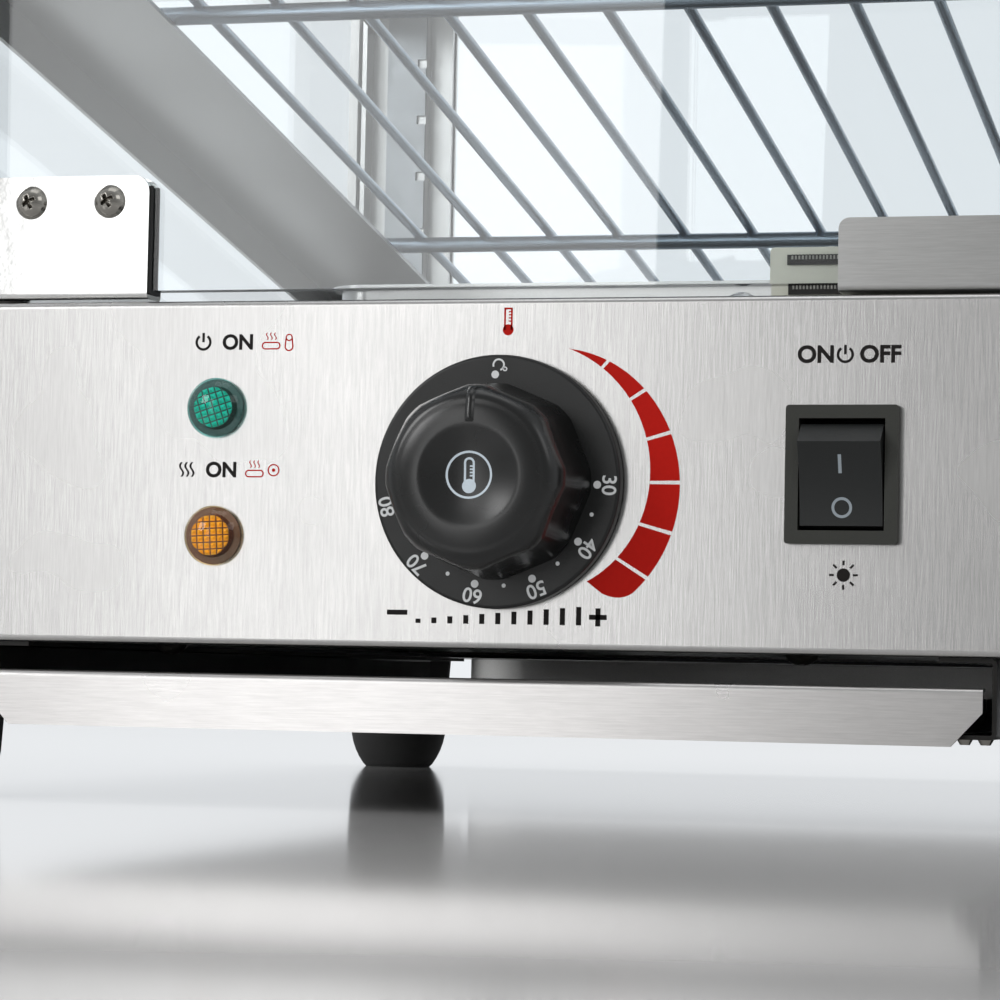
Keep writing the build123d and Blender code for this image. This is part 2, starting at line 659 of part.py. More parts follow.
# Lamp over the shelves: domed glass under the liner, holder and bulb inside the canopy
lens_inner = LAMP_HOLE_RADIUS - LENS_WALL
lens_rise = LENS_DROP - LENS_WALL
outer_side, outer_rise = dome_middle(LAMP_HOLE_RADIUS, lens_rise)
inner_side, inner_rise = dome_middle(lens_inner, lens_rise)
with BuildPart() as lamp_lens:
    with BuildSketch(Plane.XZ.offset(-MIDDLE)):
        with BuildLine():
            ThreePointArc(
                (0, CEILING - LENS_DROP),
                (outer_side, CEILING - LENS_WALL - outer_rise),
                (LAMP_HOLE_RADIUS, CEILING - LENS_WALL),
            )
            ThreePointArc(
                (0, CEILING - lens_rise),
                (inner_side, CEILING - inner_rise),
                (lens_inner, CEILING),
            )
            Polyline(
                (LAMP_HOLE_RADIUS, CEILING - LENS_WALL),
                (LENS_FLANGE_RADIUS, CEILING - LENS_WALL),
                (LENS_FLANGE_RADIUS, CEILING),
                (lens_inner, CEILING),
            )
            Line((0, CEILING - LENS_DROP), (0, CEILING - lens_rise))
        make_face()
    revolve(axis=Axis((0, MIDDLE, 0), (0, 0, 1)))
finish(lamp_lens, "lamp_lens")

holder_top = CANOPY_TOP - 3 * SHEET - HANGER_THICKNESS
holder_bottom = holder_top - HOLDER_HEIGHT
strap_reach = LAMP_HOLE_RADIUS + HOLDER_STRAP_WIDTH
strap_foot = HOLDER_STRAP_WIDTH / 2
strap_line = [
    (-strap_reach - strap_foot, CEILING + SHEET),
    (-strap_reach, CEILING + SHEET),
    (-strap_reach, holder_top),
    (strap_reach, holder_top),
    (strap_reach, CEILING + SHEET),
    (strap_reach + strap_foot, CEILING + SHEET),
]
with BuildPart() as lamp_strap:
    with BuildSketch(Plane.XZ.offset(-MIDDLE)):
        with BuildLine():
            FilletPolyline(*strap_line, radius=2 * HANGER_THICKNESS)
            offset(amount=HANGER_THICKNESS, side=Side.LEFT)
        make_face()
    extrude(amount=HOLDER_STRAP_WIDTH / 2, both=True)
finish(lamp_strap, "lamp_strap")

with BuildPart() as lamp_holder:
    with BuildSketch(Plane.XY.offset(holder_bottom)):
        with Locations((0, MIDDLE)):
            Circle(HOLDER_RADIUS)
    extrude(amount=HOLDER_HEIGHT)
    with BuildSketch(Plane.XY.offset(holder_bottom)):
        with Locations((0, MIDDLE)):
            Circle(BULB_CAP_RADIUS)
    extrude(amount=HOLDER_HEIGHT / 2, mode=Mode.SUBTRACT)
    chamfer(lamp_holder.faces().sort_by(Axis.Z)[-1].edges(), length=SHEET)
finish(lamp_holder, "lamp_holder")

bulb_top = holder_bottom + HOLDER_HEIGHT / 2
bulb_tip = bulb_top - BULB_LENGTH
with BuildPart() as lamp_bulb:
    with BuildSketch(Plane.XZ.offset(-MIDDLE)):
        with BuildLine():
            neck = (BULB_CAP_RADIUS, holder_bottom - SHEET)
            shoulder = (BULB_RADIUS, bulb_tip + BULB_RADIUS)
            Polyline(neck, (BULB_CAP_RADIUS, bulb_top), (0, bulb_top), (0, bulb_tip))
            ThreePointArc(
                (0, bulb_tip),
                (BULB_RADIUS * math.sin(math.pi / 4), bulb_tip + BULB_RADIUS * (1 - math.cos(math.pi / 4))),
                shoulder,
            )
            Spline(shoulder, neck, tangents=((0, 1), (0, 1)))
        make_face()
    revolve(axis=Axis((0, MIDDLE, 0), (0, 0, 1)))
finish(lamp_bulb, "lamp_bulb")

# Heating element: one bent tube under the deck slots, held by two hangers
element_z = DECK_TOP - ELEMENT_DROP
element_front = MIDDLE - ELEMENT_LENGTH / 2
element_back = MIDDLE + ELEMENT_LENGTH / 2
element_start = (-ELEMENT_HALF, element_front, element_z)
with BuildPart() as heating_element:
    with BuildLine(Plane.XY.offset(element_z)) as element_line:
        FilletPolyline(
            (-ELEMENT_HALF, element_front),
            (-ELEMENT_HALF, element_back),
            (ELEMENT_HALF, element_back),
            (ELEMENT_HALF, element_front),
            radius=ELEMENT_BEND,
        )
    with BuildSketch(Plane(origin=element_start, x_dir=(1, 0, 0), z_dir=(0, 1, 0))):
        Circle(ELEMENT_RADIUS)
    sweep(path=element_line.wires()[0])
finish(heating_element, "heating_element")

hanger_top = DECK_TOP - SHEET
hanger_bottom = element_z - 2 * ELEMENT_RADIUS
with BuildPart() as element_hangers:
    for way in (-1, 1):
        with BuildSketch(Plane.XZ.offset(-MIDDLE - way * HANGER_SPACING / 2)):
            for side in (-1, 1):
                with Locations((side * ELEMENT_HALF, (hanger_top + hanger_bottom) / 2)):
                    Rectangle(HANGER_WIDTH, hanger_top - hanger_bottom)
                with Locations((side * ELEMENT_HALF, element_z)):
                    Circle(ELEMENT_RADIUS, mode=Mode.SUBTRACT)
        extrude(amount=HANGER_THICKNESS)
finish(element_hangers, "element_hangers")

# Water tray: a shallow pan that stands on the deck under the lowest shelf
water_inside = (WATER_WIDTH - 2 * WATER_WALL, WATER_DEPTH - 2 * WATER_WALL, WATER_CORNER - WATER_WALL)
with BuildPart() as water_tray:
    with BuildSketch(Plane.XY.offset(DECK_TOP)):
        with Locations((0, MIDDLE)):
            RectangleRounded(WATER_WIDTH, WATER_DEPTH, WATER_CORNER)
    extrude(amount=WATER_HEIGHT)
    with BuildSketch(Plane.XY.offset(DECK_TOP + WATER_WALL)):
        with Locations((0, MIDDLE)):
            RectangleRounded(*water_inside)
    extrude(amount=WATER_HEIGHT, mode=Mode.SUBTRACT)
    with BuildSketch(Plane.XY.offset(DECK_TOP + WATER_HEIGHT)):
        with Locations((0, MIDDLE)):
            RectangleRounded(WATER_WIDTH + 4 * SHEET, WATER_DEPTH + 4 * SHEET, WATER_CORNER + 2 * SHEET)
            RectangleRounded(*water_inside, mode=Mode.SUBTRACT)
    extrude(amount=-WATER_WALL)
finish(water_tray, "water_tray")

# Thermostat: body with its threaded bush, the sensor on its thin tube
body_front = FACE + SHEET
body_back = body_front + THERMOSTAT_DEPTH
with BuildPart() as thermostat_body:
    with BuildSketch(upright(0, body_back)):
        with Locations((KNOB_X, KNOB_Z)):
            RectangleRounded(THERMOSTAT_WIDTH, THERMOSTAT_HEIGHT, FOLD_RADIUS)
    extrude(amount=THERMOSTAT_DEPTH)
    with BuildSketch(upright(0, body_front)):
        with Locations((KNOB_X, KNOB_Z)):
            Circle(BUSH_RADIUS)
    extrude(amount=SHEET)
    with BuildSketch(upright(0, FACE)):
        with Locations((KNOB_X, KNOB_Z)):
            Circle(SPINDLE_RADIUS + RUNNING_GAP)
    extrude(amount=-SPINDLE_IN_BODY - MOVING_GAP, mode=Mode.SUBTRACT)
finish(thermostat_body, "thermostat_body")

sensor_z = DECK_TOP - SHEET - SENSOR_RADIUS
sensor_x = KNOB_X + THERMOSTAT_WIDTH
sensor_front = body_back + THERMOSTAT_DEPTH
tube_start = Vector(KNOB_X, body_back, KNOB_Z + THERMOSTAT_HEIGHT / 4)
with BuildPart() as sensor_bulb:
    with BuildLine() as tube_line:
        FilletPolyline(
            tube_start,
            (KNOB_X, body_back + THERMOSTAT_DEPTH / 2, tube_start.Z),
            (sensor_x, body_back + THERMOSTAT_DEPTH / 2, sensor_z),
            (sensor_x, sensor_front, sensor_z),
            radius=4 * CAPILLARY_RADIUS,
        )
    with BuildSketch(Plane(origin=tube_start, x_dir=(1, 0, 0), z_dir=(0, 1, 0))):
        Circle(CAPILLARY_RADIUS)
    sweep(path=tube_line.wires()[0])
    with BuildSketch(upright(sensor_x, sensor_front + SENSOR_LENGTH)):
        with Locations((0, sensor_z)):
            Circle(SENSOR_RADIUS)
    extrude(amount=SENSOR_LENGTH)
finish(sensor_bulb, "sensor_bulb")

# Dial: a printed skirt, the fluted grip on it, and the shaft that both turn on
skirt_back = FACE - SKIRT_GAP
skirt_front = skirt_back - SKIRT_THICKNESS
grip_front = skirt_front - GRIP_HEIGHT
with BuildPart() as dial_skirt:
    with BuildSketch(upright(0, skirt_back)):
        with Locations((KNOB_X, KNOB_Z)):
            Circle(SKIRT_RADIUS)
            Circle(SPINDLE_RADIUS, mode=Mode.SUBTRACT)
    extrude(amount=SKIRT_THICKNESS)
    skirt_edges = dial_skirt.faces().sort_by(Axis.Y)[0].edges()
    fillet(skirt_edges.sort_by(SortBy.RADIUS)[-1], radius=SKIRT_THICKNESS / 4)
finish(dial_skirt, "dial_skirt")

with BuildPart() as dial_grip:
    with BuildSketch(upright(0, skirt_front)):
        with Locations((KNOB_X, KNOB_Z)):
            Circle(GRIP_RADIUS)
            flute_reach = GRIP_RADIUS + FLUTE_RADIUS - FLUTE_DEPTH
            with PolarLocations(flute_reach, GRIP_FLUTES, start_angle=180 / GRIP_FLUTES):
                Circle(FLUTE_RADIUS, mode=Mode.SUBTRACT)
    extrude(amount=GRIP_HEIGHT, taper=GRIP_TAPER)
    fillet(dial_grip.faces().sort_by(Axis.Y)[0].edges(), radius=GRIP_ROUND)
    sphere_radius = (DISH_RADIUS**2 + DISH_DEPTH**2) / (2 * DISH_DEPTH)
    with Locations((KNOB_X, grip_front + DISH_DEPTH - sphere_radius, KNOB_Z)):
        Sphere(sphere_radius, mode=Mode.SUBTRACT)
    with BuildSketch(upright(0, grip_front + GRIP_ROUND)):
        with Locations((KNOB_X, KNOB_Z + (DISH_RADIUS + GRIP_RADIUS) / 2)):
            RectangleRounded(POINTER_WIDTH, POINTER_LENGTH, POINTER_WIDTH / 2 - FIT)
    extrude(amount=GRIP_ROUND)
    with BuildSketch(upright(0, skirt_front)):
        with Locations((KNOB_X, KNOB_Z)):
            Circle(SPINDLE_RADIUS)
    extrude(amount=SPINDLE_IN_KNOB, mode=Mode.SUBTRACT)
finish(dial_grip, "dial_grip")

with BuildPart() as dial_spindle:
    with BuildSketch(upright(0, FACE + SPINDLE_IN_BODY)):
        with Locations((KNOB_X, KNOB_Z)):
            Circle(SPINDLE_RADIUS)
    extrude(amount=SPINDLE_IN_BODY + SKIRT_GAP + SKIRT_THICKNESS + SPINDLE_IN_KNOB)
finish(dial_spindle, "dial_spindle")

# Pilot lamps: coloured domes, their bodies behind the panel and the nuts that hold them
for level, name in zip(LAMP_LEVELS, ("lamp_lens_upper", "lamp_lens_lower")):
    with BuildPart() as pilot_lens:
        with BuildSketch(Plane.YZ.offset(LAMP_X)):
            with BuildLine():
                rim_edge = (FACE - LENS_RIM, level + LENS_RADIUS)
                tip = (FACE - LENS_RIM - LENS_DOME, level)
                dome_side, dome_rise = dome_middle(LENS_RADIUS, LENS_DOME)
                Polyline(tip, (FACE, level), (FACE, level + LENS_RADIUS), rim_edge)
                ThreePointArc(rim_edge, (FACE - LENS_RIM - dome_rise, level + dome_side), tip)
            make_face()
        revolve(axis=Axis((LAMP_X, 0, level), (0, 1, 0)))
    finish(pilot_lens, name)

with BuildPart() as pilot_bodies:
    with BuildSketch(upright(0, FACE + LAMP_BODY_LENGTH)):
        with Locations(*[(LAMP_X, level) for level in LAMP_LEVELS]):
            Circle(LAMP_BODY_RADIUS)
    extrude(amount=LAMP_BODY_LENGTH)
finish(pilot_bodies, "pilot_bodies")

with BuildPart() as pilot_nuts:
    with BuildSketch(upright(0, FACE + SHEET + LAMP_NUT_THICKNESS)):
        with Locations(*[(LAMP_X, level) for level in LAMP_LEVELS]):
            RegularPolygon(LAMP_NUT_FLATS / 2, 6, major_radius=False)
            Circle(LAMP_BODY_RADIUS, mode=Mode.SUBTRACT)
    extrude(amount=LAMP_NUT_THICKNESS)
finish(pilot_nuts, "pilot_nuts")

# Light switch: bezel and body in one moulding, with a rocker on a cross pin
with BuildPart() as switch_housing:
    with BuildSketch(upright(0, FACE)):
        with Locations((SWITCH_X, SWITCH_Z)):
            Rectangle(BEZEL_WIDTH, BEZEL_HEIGHT)
    extrude(amount=BEZEL_THICKNESS)
    fillet(switch_housing.edges().filter_by(Axis.Y), radius=SWITCH_WALL)
    with BuildSketch(upright(0, FACE + SWITCH_BODY_DEPTH)):
        with Locations((SWITCH_X, SWITCH_Z)):
            Rectangle(SWITCH_BODY_WIDTH, SWITCH_BODY_HEIGHT)
    extrude(amount=SWITCH_BODY_DEPTH)
    with BuildSketch(upright(0, FACE + SWITCH_BODY_DEPTH - 3 * SWITCH_WALL)):
        with Locations((SWITCH_X, SWITCH_Z)):
            Rectangle(SWITCH_BODY_WIDTH - 2 * SWITCH_WALL, SWITCH_BODY_HEIGHT - 2 * SWITCH_WALL)
    extrude(amount=SWITCH_BODY_DEPTH - 3 * SWITCH_WALL, mode=Mode.SUBTRACT)
    with BuildSketch(upright(0, FACE)):
        with Locations((SWITCH_X, SWITCH_Z)):
            Rectangle(BEZEL_MOUTH_WIDTH, BEZEL_MOUTH_HEIGHT)
    extrude(amount=BEZEL_THICKNESS, mode=Mode.SUBTRACT)
    with BuildSketch(Plane.YZ.offset(SWITCH_X)):
        with Locations((FACE + ROCKER_PIVOT_DEPTH, SWITCH_Z)):
            Circle(ROCKER_PIN_RADIUS + RUNNING_GAP)
    extrude(amount=SWITCH_BODY_WIDTH / 2, both=True, mode=Mode.SUBTRACT)
finish(switch_housing, "switch_housing")

tilt = math.radians(ROCKER_TILT)
rocker_plane = Plane(
    origin=(SWITCH_X, FACE + ROCKER_PIVOT_DEPTH, SWITCH_Z),
    x_dir=(0, -math.sin(tilt), math.cos(tilt)),
    z_dir=(1, 0, 0),
)
with BuildPart() as switch_rocker:
    with BuildSketch(rocker_plane):
        with BuildLine():
            Line((-ROCKER_END, ROCKER_END_RISE), (-ROCKER_RIDGE, ROCKER_RIDGE_RISE))
            ThreePointArc(
                (-ROCKER_RIDGE, ROCKER_RIDGE_RISE),
                (0, ROCKER_RIDGE_RISE - ROCKER_HOLLOW),
                (ROCKER_RIDGE, ROCKER_RIDGE_RISE),
            )
            Polyline(
                (ROCKER_RIDGE, ROCKER_RIDGE_RISE),
                (ROCKER_END, ROCKER_END_RISE),
                (ROCKER_END / 2, -2 * ROCKER_PIN_RADIUS),
                (-ROCKER_END / 2, -2 * ROCKER_PIN_RADIUS),
                (-ROCKER_END, ROCKER_END_RISE),
            )
        make_face()
    extrude(amount=ROCKER_WIDTH / 2, both=True)
    with BuildSketch(rocker_plane):
        Circle(ROCKER_PIN_RADIUS)
    extrude(amount=SWITCH_BODY_WIDTH / 2, both=True)
finish(switch_rocker, "switch_rocker")

# Spade terminals on the switch and the thermostat
switch_back = FACE + SWITCH_BODY_DEPTH
with BuildPart() as spade_terminals:
    with BuildSketch(upright(0, switch_back + TAB_LENGTH)):
        with Locations((SWITCH_X, SWITCH_Z)):
            with GridLocations(SWITCH_BODY_WIDTH / 2, SWITCH_BODY_HEIGHT / 2, 2, 2):
                Rectangle(WATER_WALL, TAB_WIDTH)
    extrude(amount=TAB_LENGTH)
    with BuildSketch(upright(0, body_back + TAB_LENGTH)):
        with Locations((KNOB_X, KNOB_Z - THERMOSTAT_HEIGHT / 4)):
            with GridLocations(THERMOSTAT_WIDTH / 3, 0, 3, 1):
                Rectangle(WATER_WALL, TAB_WIDTH)
    extrude(amount=TAB_LENGTH)
finish(spade_terminals, "spade_terminals")

# Door: one pane, two pivot clips, the strike plate and their rubber
clip_screw_xs = [CLIP_RIGHT - CLIP_SCREW_INSET - step * CLIP_SCREW_SPACING for step in range(2)]
lower_screw_z = CLIP_BOTTOM + CLIP_HEIGHT - CLIP_SCREW_DROP
upper_clip_top = DOOR_TOP + PAD_THICKNESS + CLIP_SHEET
upper_screw_z = upper_clip_top - CLIP_HEIGHT + CLIP_SCREW_DROP
door_screw_places = [(x, z) for x in clip_screw_xs for z in (lower_screw_z, upper_screw_z)]
handle_x = DOOR_RIGHT - HANDLE_INSET
handle_z = BASE_TOP + HANDLE_RISE
door_front_plane = upright(0, DOOR_FRONT + DOOR_GLASS)
with BuildPart() as door_glass:
    with BuildSketch(door_front_plane):
        with Locations((0, (DOOR_BOTTOM + DOOR_TOP) / 2)):
            RectangleRounded(2 * DOOR_RIGHT, DOOR_TOP - DOOR_BOTTOM, GLASS_CORNER)
        with Locations(*door_screw_places):
            Circle(SCREW_RADIUS, mode=Mode.SUBTRACT)
        with Locations((handle_x, handle_z)):
            Circle(HANDLE_NECK_RADIUS, mode=Mode.SUBTRACT)
    extrude(amount=DOOR_GLASS)
finish(door_glass, "door_glass")


def glass_channel(edge_z, way, reach, left, length, corner):
    """A U-section sheet that wraps a horizontal glass edge, with its free corners rounded."""
    line = [
        (DOOR_MIDDLE - CLIP_OUTSIDE, edge_z + way * reach),
        (DOOR_MIDDLE - CLIP_OUTSIDE, edge_z),
        (DOOR_MIDDLE + CLIP_OUTSIDE, edge_z),
        (DOOR_MIDDLE + CLIP_OUTSIDE, edge_z + way * reach),
    ]
    side = Side.LEFT if way > 0 else Side.RIGHT
    with BuildPart() as channel:
        add(folded(line, TIGHT_BEND, CLIP_SHEET, side, left, length))
        across = channel.edges().filter_by(Axis.Y)
        free = across.group_by(Axis.Z)[-1 if way > 0 else 0]
        fillet(free, radius=corner)
    return channel.part


def rubber_channel(edge_z, way, reach, left, length):
    """The rubber strip inside a clip: square on the glass, rounded where the clip bends."""
    outside = DOOR_GLASS / 2 + PAD_THICKNESS
    with BuildPart() as channel:
        with BuildSketch(Plane.YZ.offset(left)):
            with Locations((DOOR_MIDDLE, edge_z + way * reach / 2)):
                Rectangle(2 * outside, reach)
            with Locations((DOOR_MIDDLE, edge_z + way * (PAD_THICKNESS + reach / 2))):
                Rectangle(DOOR_GLASS, reach, mode=Mode.SUBTRACT)
        extrude(amount=length)
        folds = channel.edges().filter_by(Axis.X).group_by(Axis.Z)[0 if way > 0 else -1]
        fillet(folds, radius=PAD_THICKNESS / 2)
    return channel.part


screw_planes = upright(0, DOOR_MIDDLE + CLIP_OUTSIDE)
for name, edge_z, way, screw_z in (
    ("pivot_clip_lower", CLIP_BOTTOM, 1, lower_screw_z),
    ("pivot_clip_upper", upper_clip_top, -1, upper_screw_z),
):
    with BuildPart() as pivot_clip:
        add(glass_channel(edge_z, way, CLIP_HEIGHT, DOOR_LEFT, CLIP_LENGTH, CLIP_CORNER))
        with BuildSketch(screw_planes):
            with Locations(*[(x, screw_z) for x in clip_screw_xs]):
                Circle(SCREW_RADIUS)
        extrude(amount=2 * CLIP_OUTSIDE, mode=Mode.SUBTRACT)
        with BuildSketch(Plane.XY.offset(edge_z + way * CLIP_SHEET)):
            with Locations((PIVOT_X, DOOR_MIDDLE)):
                Circle(PIVOT_RADIUS)
        extrude(amount=-way * (PIVOT_LENGTH + CLIP_SHEET))
    finish(pivot_clip, name)

with BuildPart() as strike_plate:
    add(glass_channel(CLIP_BOTTOM, 1, STRIKE_HEIGHT, STRIKE_LEFT, STRIKE_LENGTH, STRIKE_CORNER))
finish(strike_plate, "strike_plate")

# Rubber pads: one folded strip inside each clip and one inside the strike plate
with BuildPart() as glass_pads:
    for edge_z, way, reach, left, length in (
        (DOOR_BOTTOM - PAD_THICKNESS, 1, CLIP_HEIGHT - 3 * CLIP_SHEET, DOOR_LEFT, CLIP_LENGTH + PAD_SHOW),
        (DOOR_TOP + PAD_THICKNESS, -1, CLIP_HEIGHT - 3 * CLIP_SHEET, DOOR_LEFT, CLIP_LENGTH + PAD_SHOW),
        (DOOR_BOTTOM - PAD_THICKNESS, 1, STRIKE_HEIGHT - 3 * CLIP_SHEET, STRIKE_LEFT, STRIKE_LENGTH),
    ):
        add(rubber_channel(edge_z, way, reach, left, length))
    with BuildSketch(screw_planes):
        with Locations(*door_screw_places):
            Circle(SCREW_RADIUS)
    extrude(amount=2 * CLIP_OUTSIDE, mode=Mode.SUBTRACT)
finish(glass_pads, "glass_pads")

with BuildPart() as clip_screws:
    for x, z in door_screw_places:
        with Locations(Location((x, DOOR_MIDDLE - CLIP_OUTSIDE, z), (90, 0, 0))):
            add(headed_screw(PAN_HEAD_RADIUS, PAN_HEAD_HEIGHT, 2 * CLIP_OUTSIDE))
finish(clip_screws, "clip_screws")

handle_front = DOOR_FRONT - HANDLE_REACH
handle_crown = HANDLE_REACH / 5
crown_side, crown_rise = dome_middle(HANDLE_RADIUS, handle_crown)
with BuildPart() as door_handle:
    with BuildSketch(Plane.YZ.offset(handle_x)):
        with BuildLine():
            neck_end = (DOOR_FRONT - SHEET, handle_z + HANDLE_NECK_RADIUS)
            brim = (handle_front + handle_crown, handle_z + HANDLE_RADIUS)
            Polyline(
                (handle_front, handle_z),
                (DOOR_FRONT + DOOR_GLASS, handle_z),
                (DOOR_FRONT + DOOR_GLASS, handle_z + HANDLE_NECK_RADIUS),
                (DOOR_FRONT, handle_z + HANDLE_NECK_RADIUS),
                (DOOR_FRONT, handle_z + HANDLE_NECK_RADIUS + SHEET),
                (DOOR_FRONT - SHEET, handle_z + HANDLE_NECK_RADIUS + SHEET),
                neck_end,
            )
            Spline(neck_end, brim, tangents=((-1, 0), (-0.3, 1)))
            ThreePointArc(
                brim,
                (handle_front + handle_crown - crown_rise, handle_z + crown_side),
                (handle_front, handle_z),
            )
        make_face()
    revolve(axis=Axis((handle_x, 0, handle_z), (0, 1, 0)))
finish(door_handle, "door_handle")

with BuildPart() as handle_washer:
    with BuildSketch(upright(0, DOOR_FRONT + DOOR_GLASS + CLIP_SHEET)):
        with Locations((handle_x, handle_z)):
            Circle(HANDLE_WASHER_RADIUS)
    extrude(amount=CLIP_SHEET)
    fillet(handle_washer.faces().sort_by(Axis.Y)[-1].edges(), radius=CLIP_SHEET / 2)
finish(handle_washer, "handle_washer")

# Pivot plates with the bushes that the clip pins turn in
for name, face_z, way in (
    ("pivot_plate_lower", BASE_TOP, -1),
    ("pivot_plate_upper", CEILING, 1),
):
    with BuildPart() as pivot_plate:
        with BuildSketch(Plane.XY.offset(face_z)):
            with Locations((PIVOT_X, DOOR_MIDDLE)):
                SlotOverall(PIVOT_PLATE_LENGTH, PIVOT_PLATE_WIDTH / 2)
        extrude(amount=-way * PIVOT_PLATE_THICKNESS)
        with BuildSketch(Plane.XY.offset(face_z)):
            with Locations((PIVOT_X, DOOR_MIDDLE)):
                Circle(PIVOT_BUSH_RADIUS)
        extrude(amount=way * PIVOT_BUSH_LENGTH)
        with BuildSketch(Plane.XY.offset(face_z - way * PIVOT_PLATE_THICKNESS)):
            with Locations((PIVOT_X, DOOR_MIDDLE)):
                Circle(PIVOT_RADIUS + RUNNING_GAP)
        extrude(amount=way * (PIVOT_PLATE_THICKNESS + PIVOT_BUSH_LENGTH), mode=Mode.SUBTRACT)
    finish(pivot_plate, name)

# Magnetic catch on the deck: housing with two pole bars that face the strike plate
pole_front = DOOR_MIDDLE + CLIP_OUTSIDE + MOVING_GAP
catch_front = pole_front + POLE_PROUD
catch_middle = CATCH_LEFT + CATCH_LENGTH / 2
pole_levels = [BASE_TOP + POLE_RISE + step * POLE_SPACING for step in range(2)]
catch_screw_places = [
    (catch_middle + way * CATCH_LENGTH / 4, catch_front + CATCH_SCREW_DEPTH) for way in (-1, 1)
]
with BuildPart() as catch_housing:
    with BuildSketch(upright(0, catch_front + CATCH_DEPTH)):
        with Locations((catch_middle, BASE_TOP + CATCH_HEIGHT / 2)):
            Rectangle(CATCH_LENGTH, CATCH_HEIGHT)
    extrude(amount=CATCH_DEPTH)
    fillet(catch_housing.edges().filter_by(Axis.Y).group_by(Axis.Z)[-1], radius=SHEET)
    with BuildSketch(upright(0, catch_front + CATCH_DEPTH / 3)):
        with Locations(*[(catch_middle, level) for level in pole_levels]):
            Rectangle(CATCH_LENGTH - 2 * POLE_INSET, POLE_HEIGHT)
    extrude(amount=CATCH_DEPTH / 3, mode=Mode.SUBTRACT)
    with BuildSketch(Plane.XY.offset(BASE_TOP)):
        with Locations(*catch_screw_places):
            Circle(SCREW_RADIUS)
    extrude(amount=CATCH_HEIGHT, mode=Mode.SUBTRACT)
finish(catch_housing, "catch_housing")

with BuildPart() as catch_poles:
    with BuildSketch(upright(0, catch_front + CATCH_DEPTH / 3)):
        with Locations(*[(catch_middle, level) for level in pole_levels]):
            Rectangle(CATCH_LENGTH - 2 * POLE_INSET, POLE_HEIGHT)
    extrude(amount=CATCH_DEPTH / 3 + POLE_PROUD)
finish(catch_poles, "catch_poles")

with BuildPart() as catch_screws:
    for x, y in catch_screw_places:
        with Locations((x, y, BASE_TOP + CATCH_HEIGHT)):
            add(headed_screw(CATCH_SCREW_HEAD, DOME_HEAD_HEIGHT / 2, CATCH_HEIGHT))
finish(catch_screws, "catch_screws")

with BuildPart() as door_bumper:
    bumper_y = catch_front + BUMPER_RADIUS / 2
    with BuildSketch(Plane.XZ.offset(-bumper_y)):
        with BuildLine():
            bumper_tip = (BUMPER_X, BASE_TOP + BUMPER_HEIGHT)
            bumper_edge = (BUMPER_X + BUMPER_RADIUS, BASE_TOP)
            bumper_side, bumper_rise = dome_middle(BUMPER_RADIUS, BUMPER_HEIGHT)
            Polyline(bumper_tip, (BUMPER_X, BASE_TOP), bumper_edge)
            ThreePointArc(bumper_edge, (BUMPER_X + bumper_side, BASE_TOP + bumper_rise), bumper_tip)
        make_face()
    revolve(axis=Axis((BUMPER_X, bumper_y, 0), (0, 0, 1)))
finish(door_bumper, "door_bumper")

# Feet: tapered rubber cones with a waist, screwed up into the base
with BuildPart() as feet:
    with BuildSketch(Plane.XZ):
        with BuildLine():
            Polyline((0, FOOT_HEIGHT), (0, 0), (FOOT_TIP_RADIUS - SHEET, 0), (FOOT_TIP_RADIUS, SHEET))
            ThreePointArc(
                (FOOT_TIP_RADIUS, SHEET),
                ((FOOT_TIP_RADIUS + FOOT_WAIST_RADIUS) / 2 + SHEET / 2, FOOT_WAIST_RISE / 2),
                (FOOT_WAIST_RADIUS, FOOT_WAIST_RISE),
            )
            Polyline((FOOT_WAIST_RADIUS, FOOT_WAIST_RISE), (FOOT_TOP_RADIUS, FOOT_HEIGHT), (0, FOOT_HEIGHT))
        make_face()
    foot_form = revolve(axis=Axis.Z, mode=Mode.PRIVATE)
    with Locations(*foot_places):
        add(foot_form)
    with BuildSketch(Plane.XY.offset(FOOT_HEIGHT)):
        with Locations(*foot_places):
            Circle(SCREW_RADIUS)
    extrude(amount=-FOOT_HEIGHT / 3, mode=Mode.SUBTRACT)
finish(feet, "feet")

base_screw_length = FOOT_HEIGHT / 3
with BuildPart() as base_screws:
    for x, y in foot_places:
        with Locations((x, y, BASE_BOTTOM + SHEET)):
            add(headed_screw(DOME_HEAD_RADIUS, DOME_HEAD_HEIGHT, base_screw_length))
    for x, y in flange_screw_places:
        with Locations(Location((x, y, BASE_BOTTOM), (180, 0, 0))):
            add(headed_screw(DOME_HEAD_RADIUS, DOME_HEAD_HEIGHT, base_screw_length))
finish(base_screws, "base_screws")

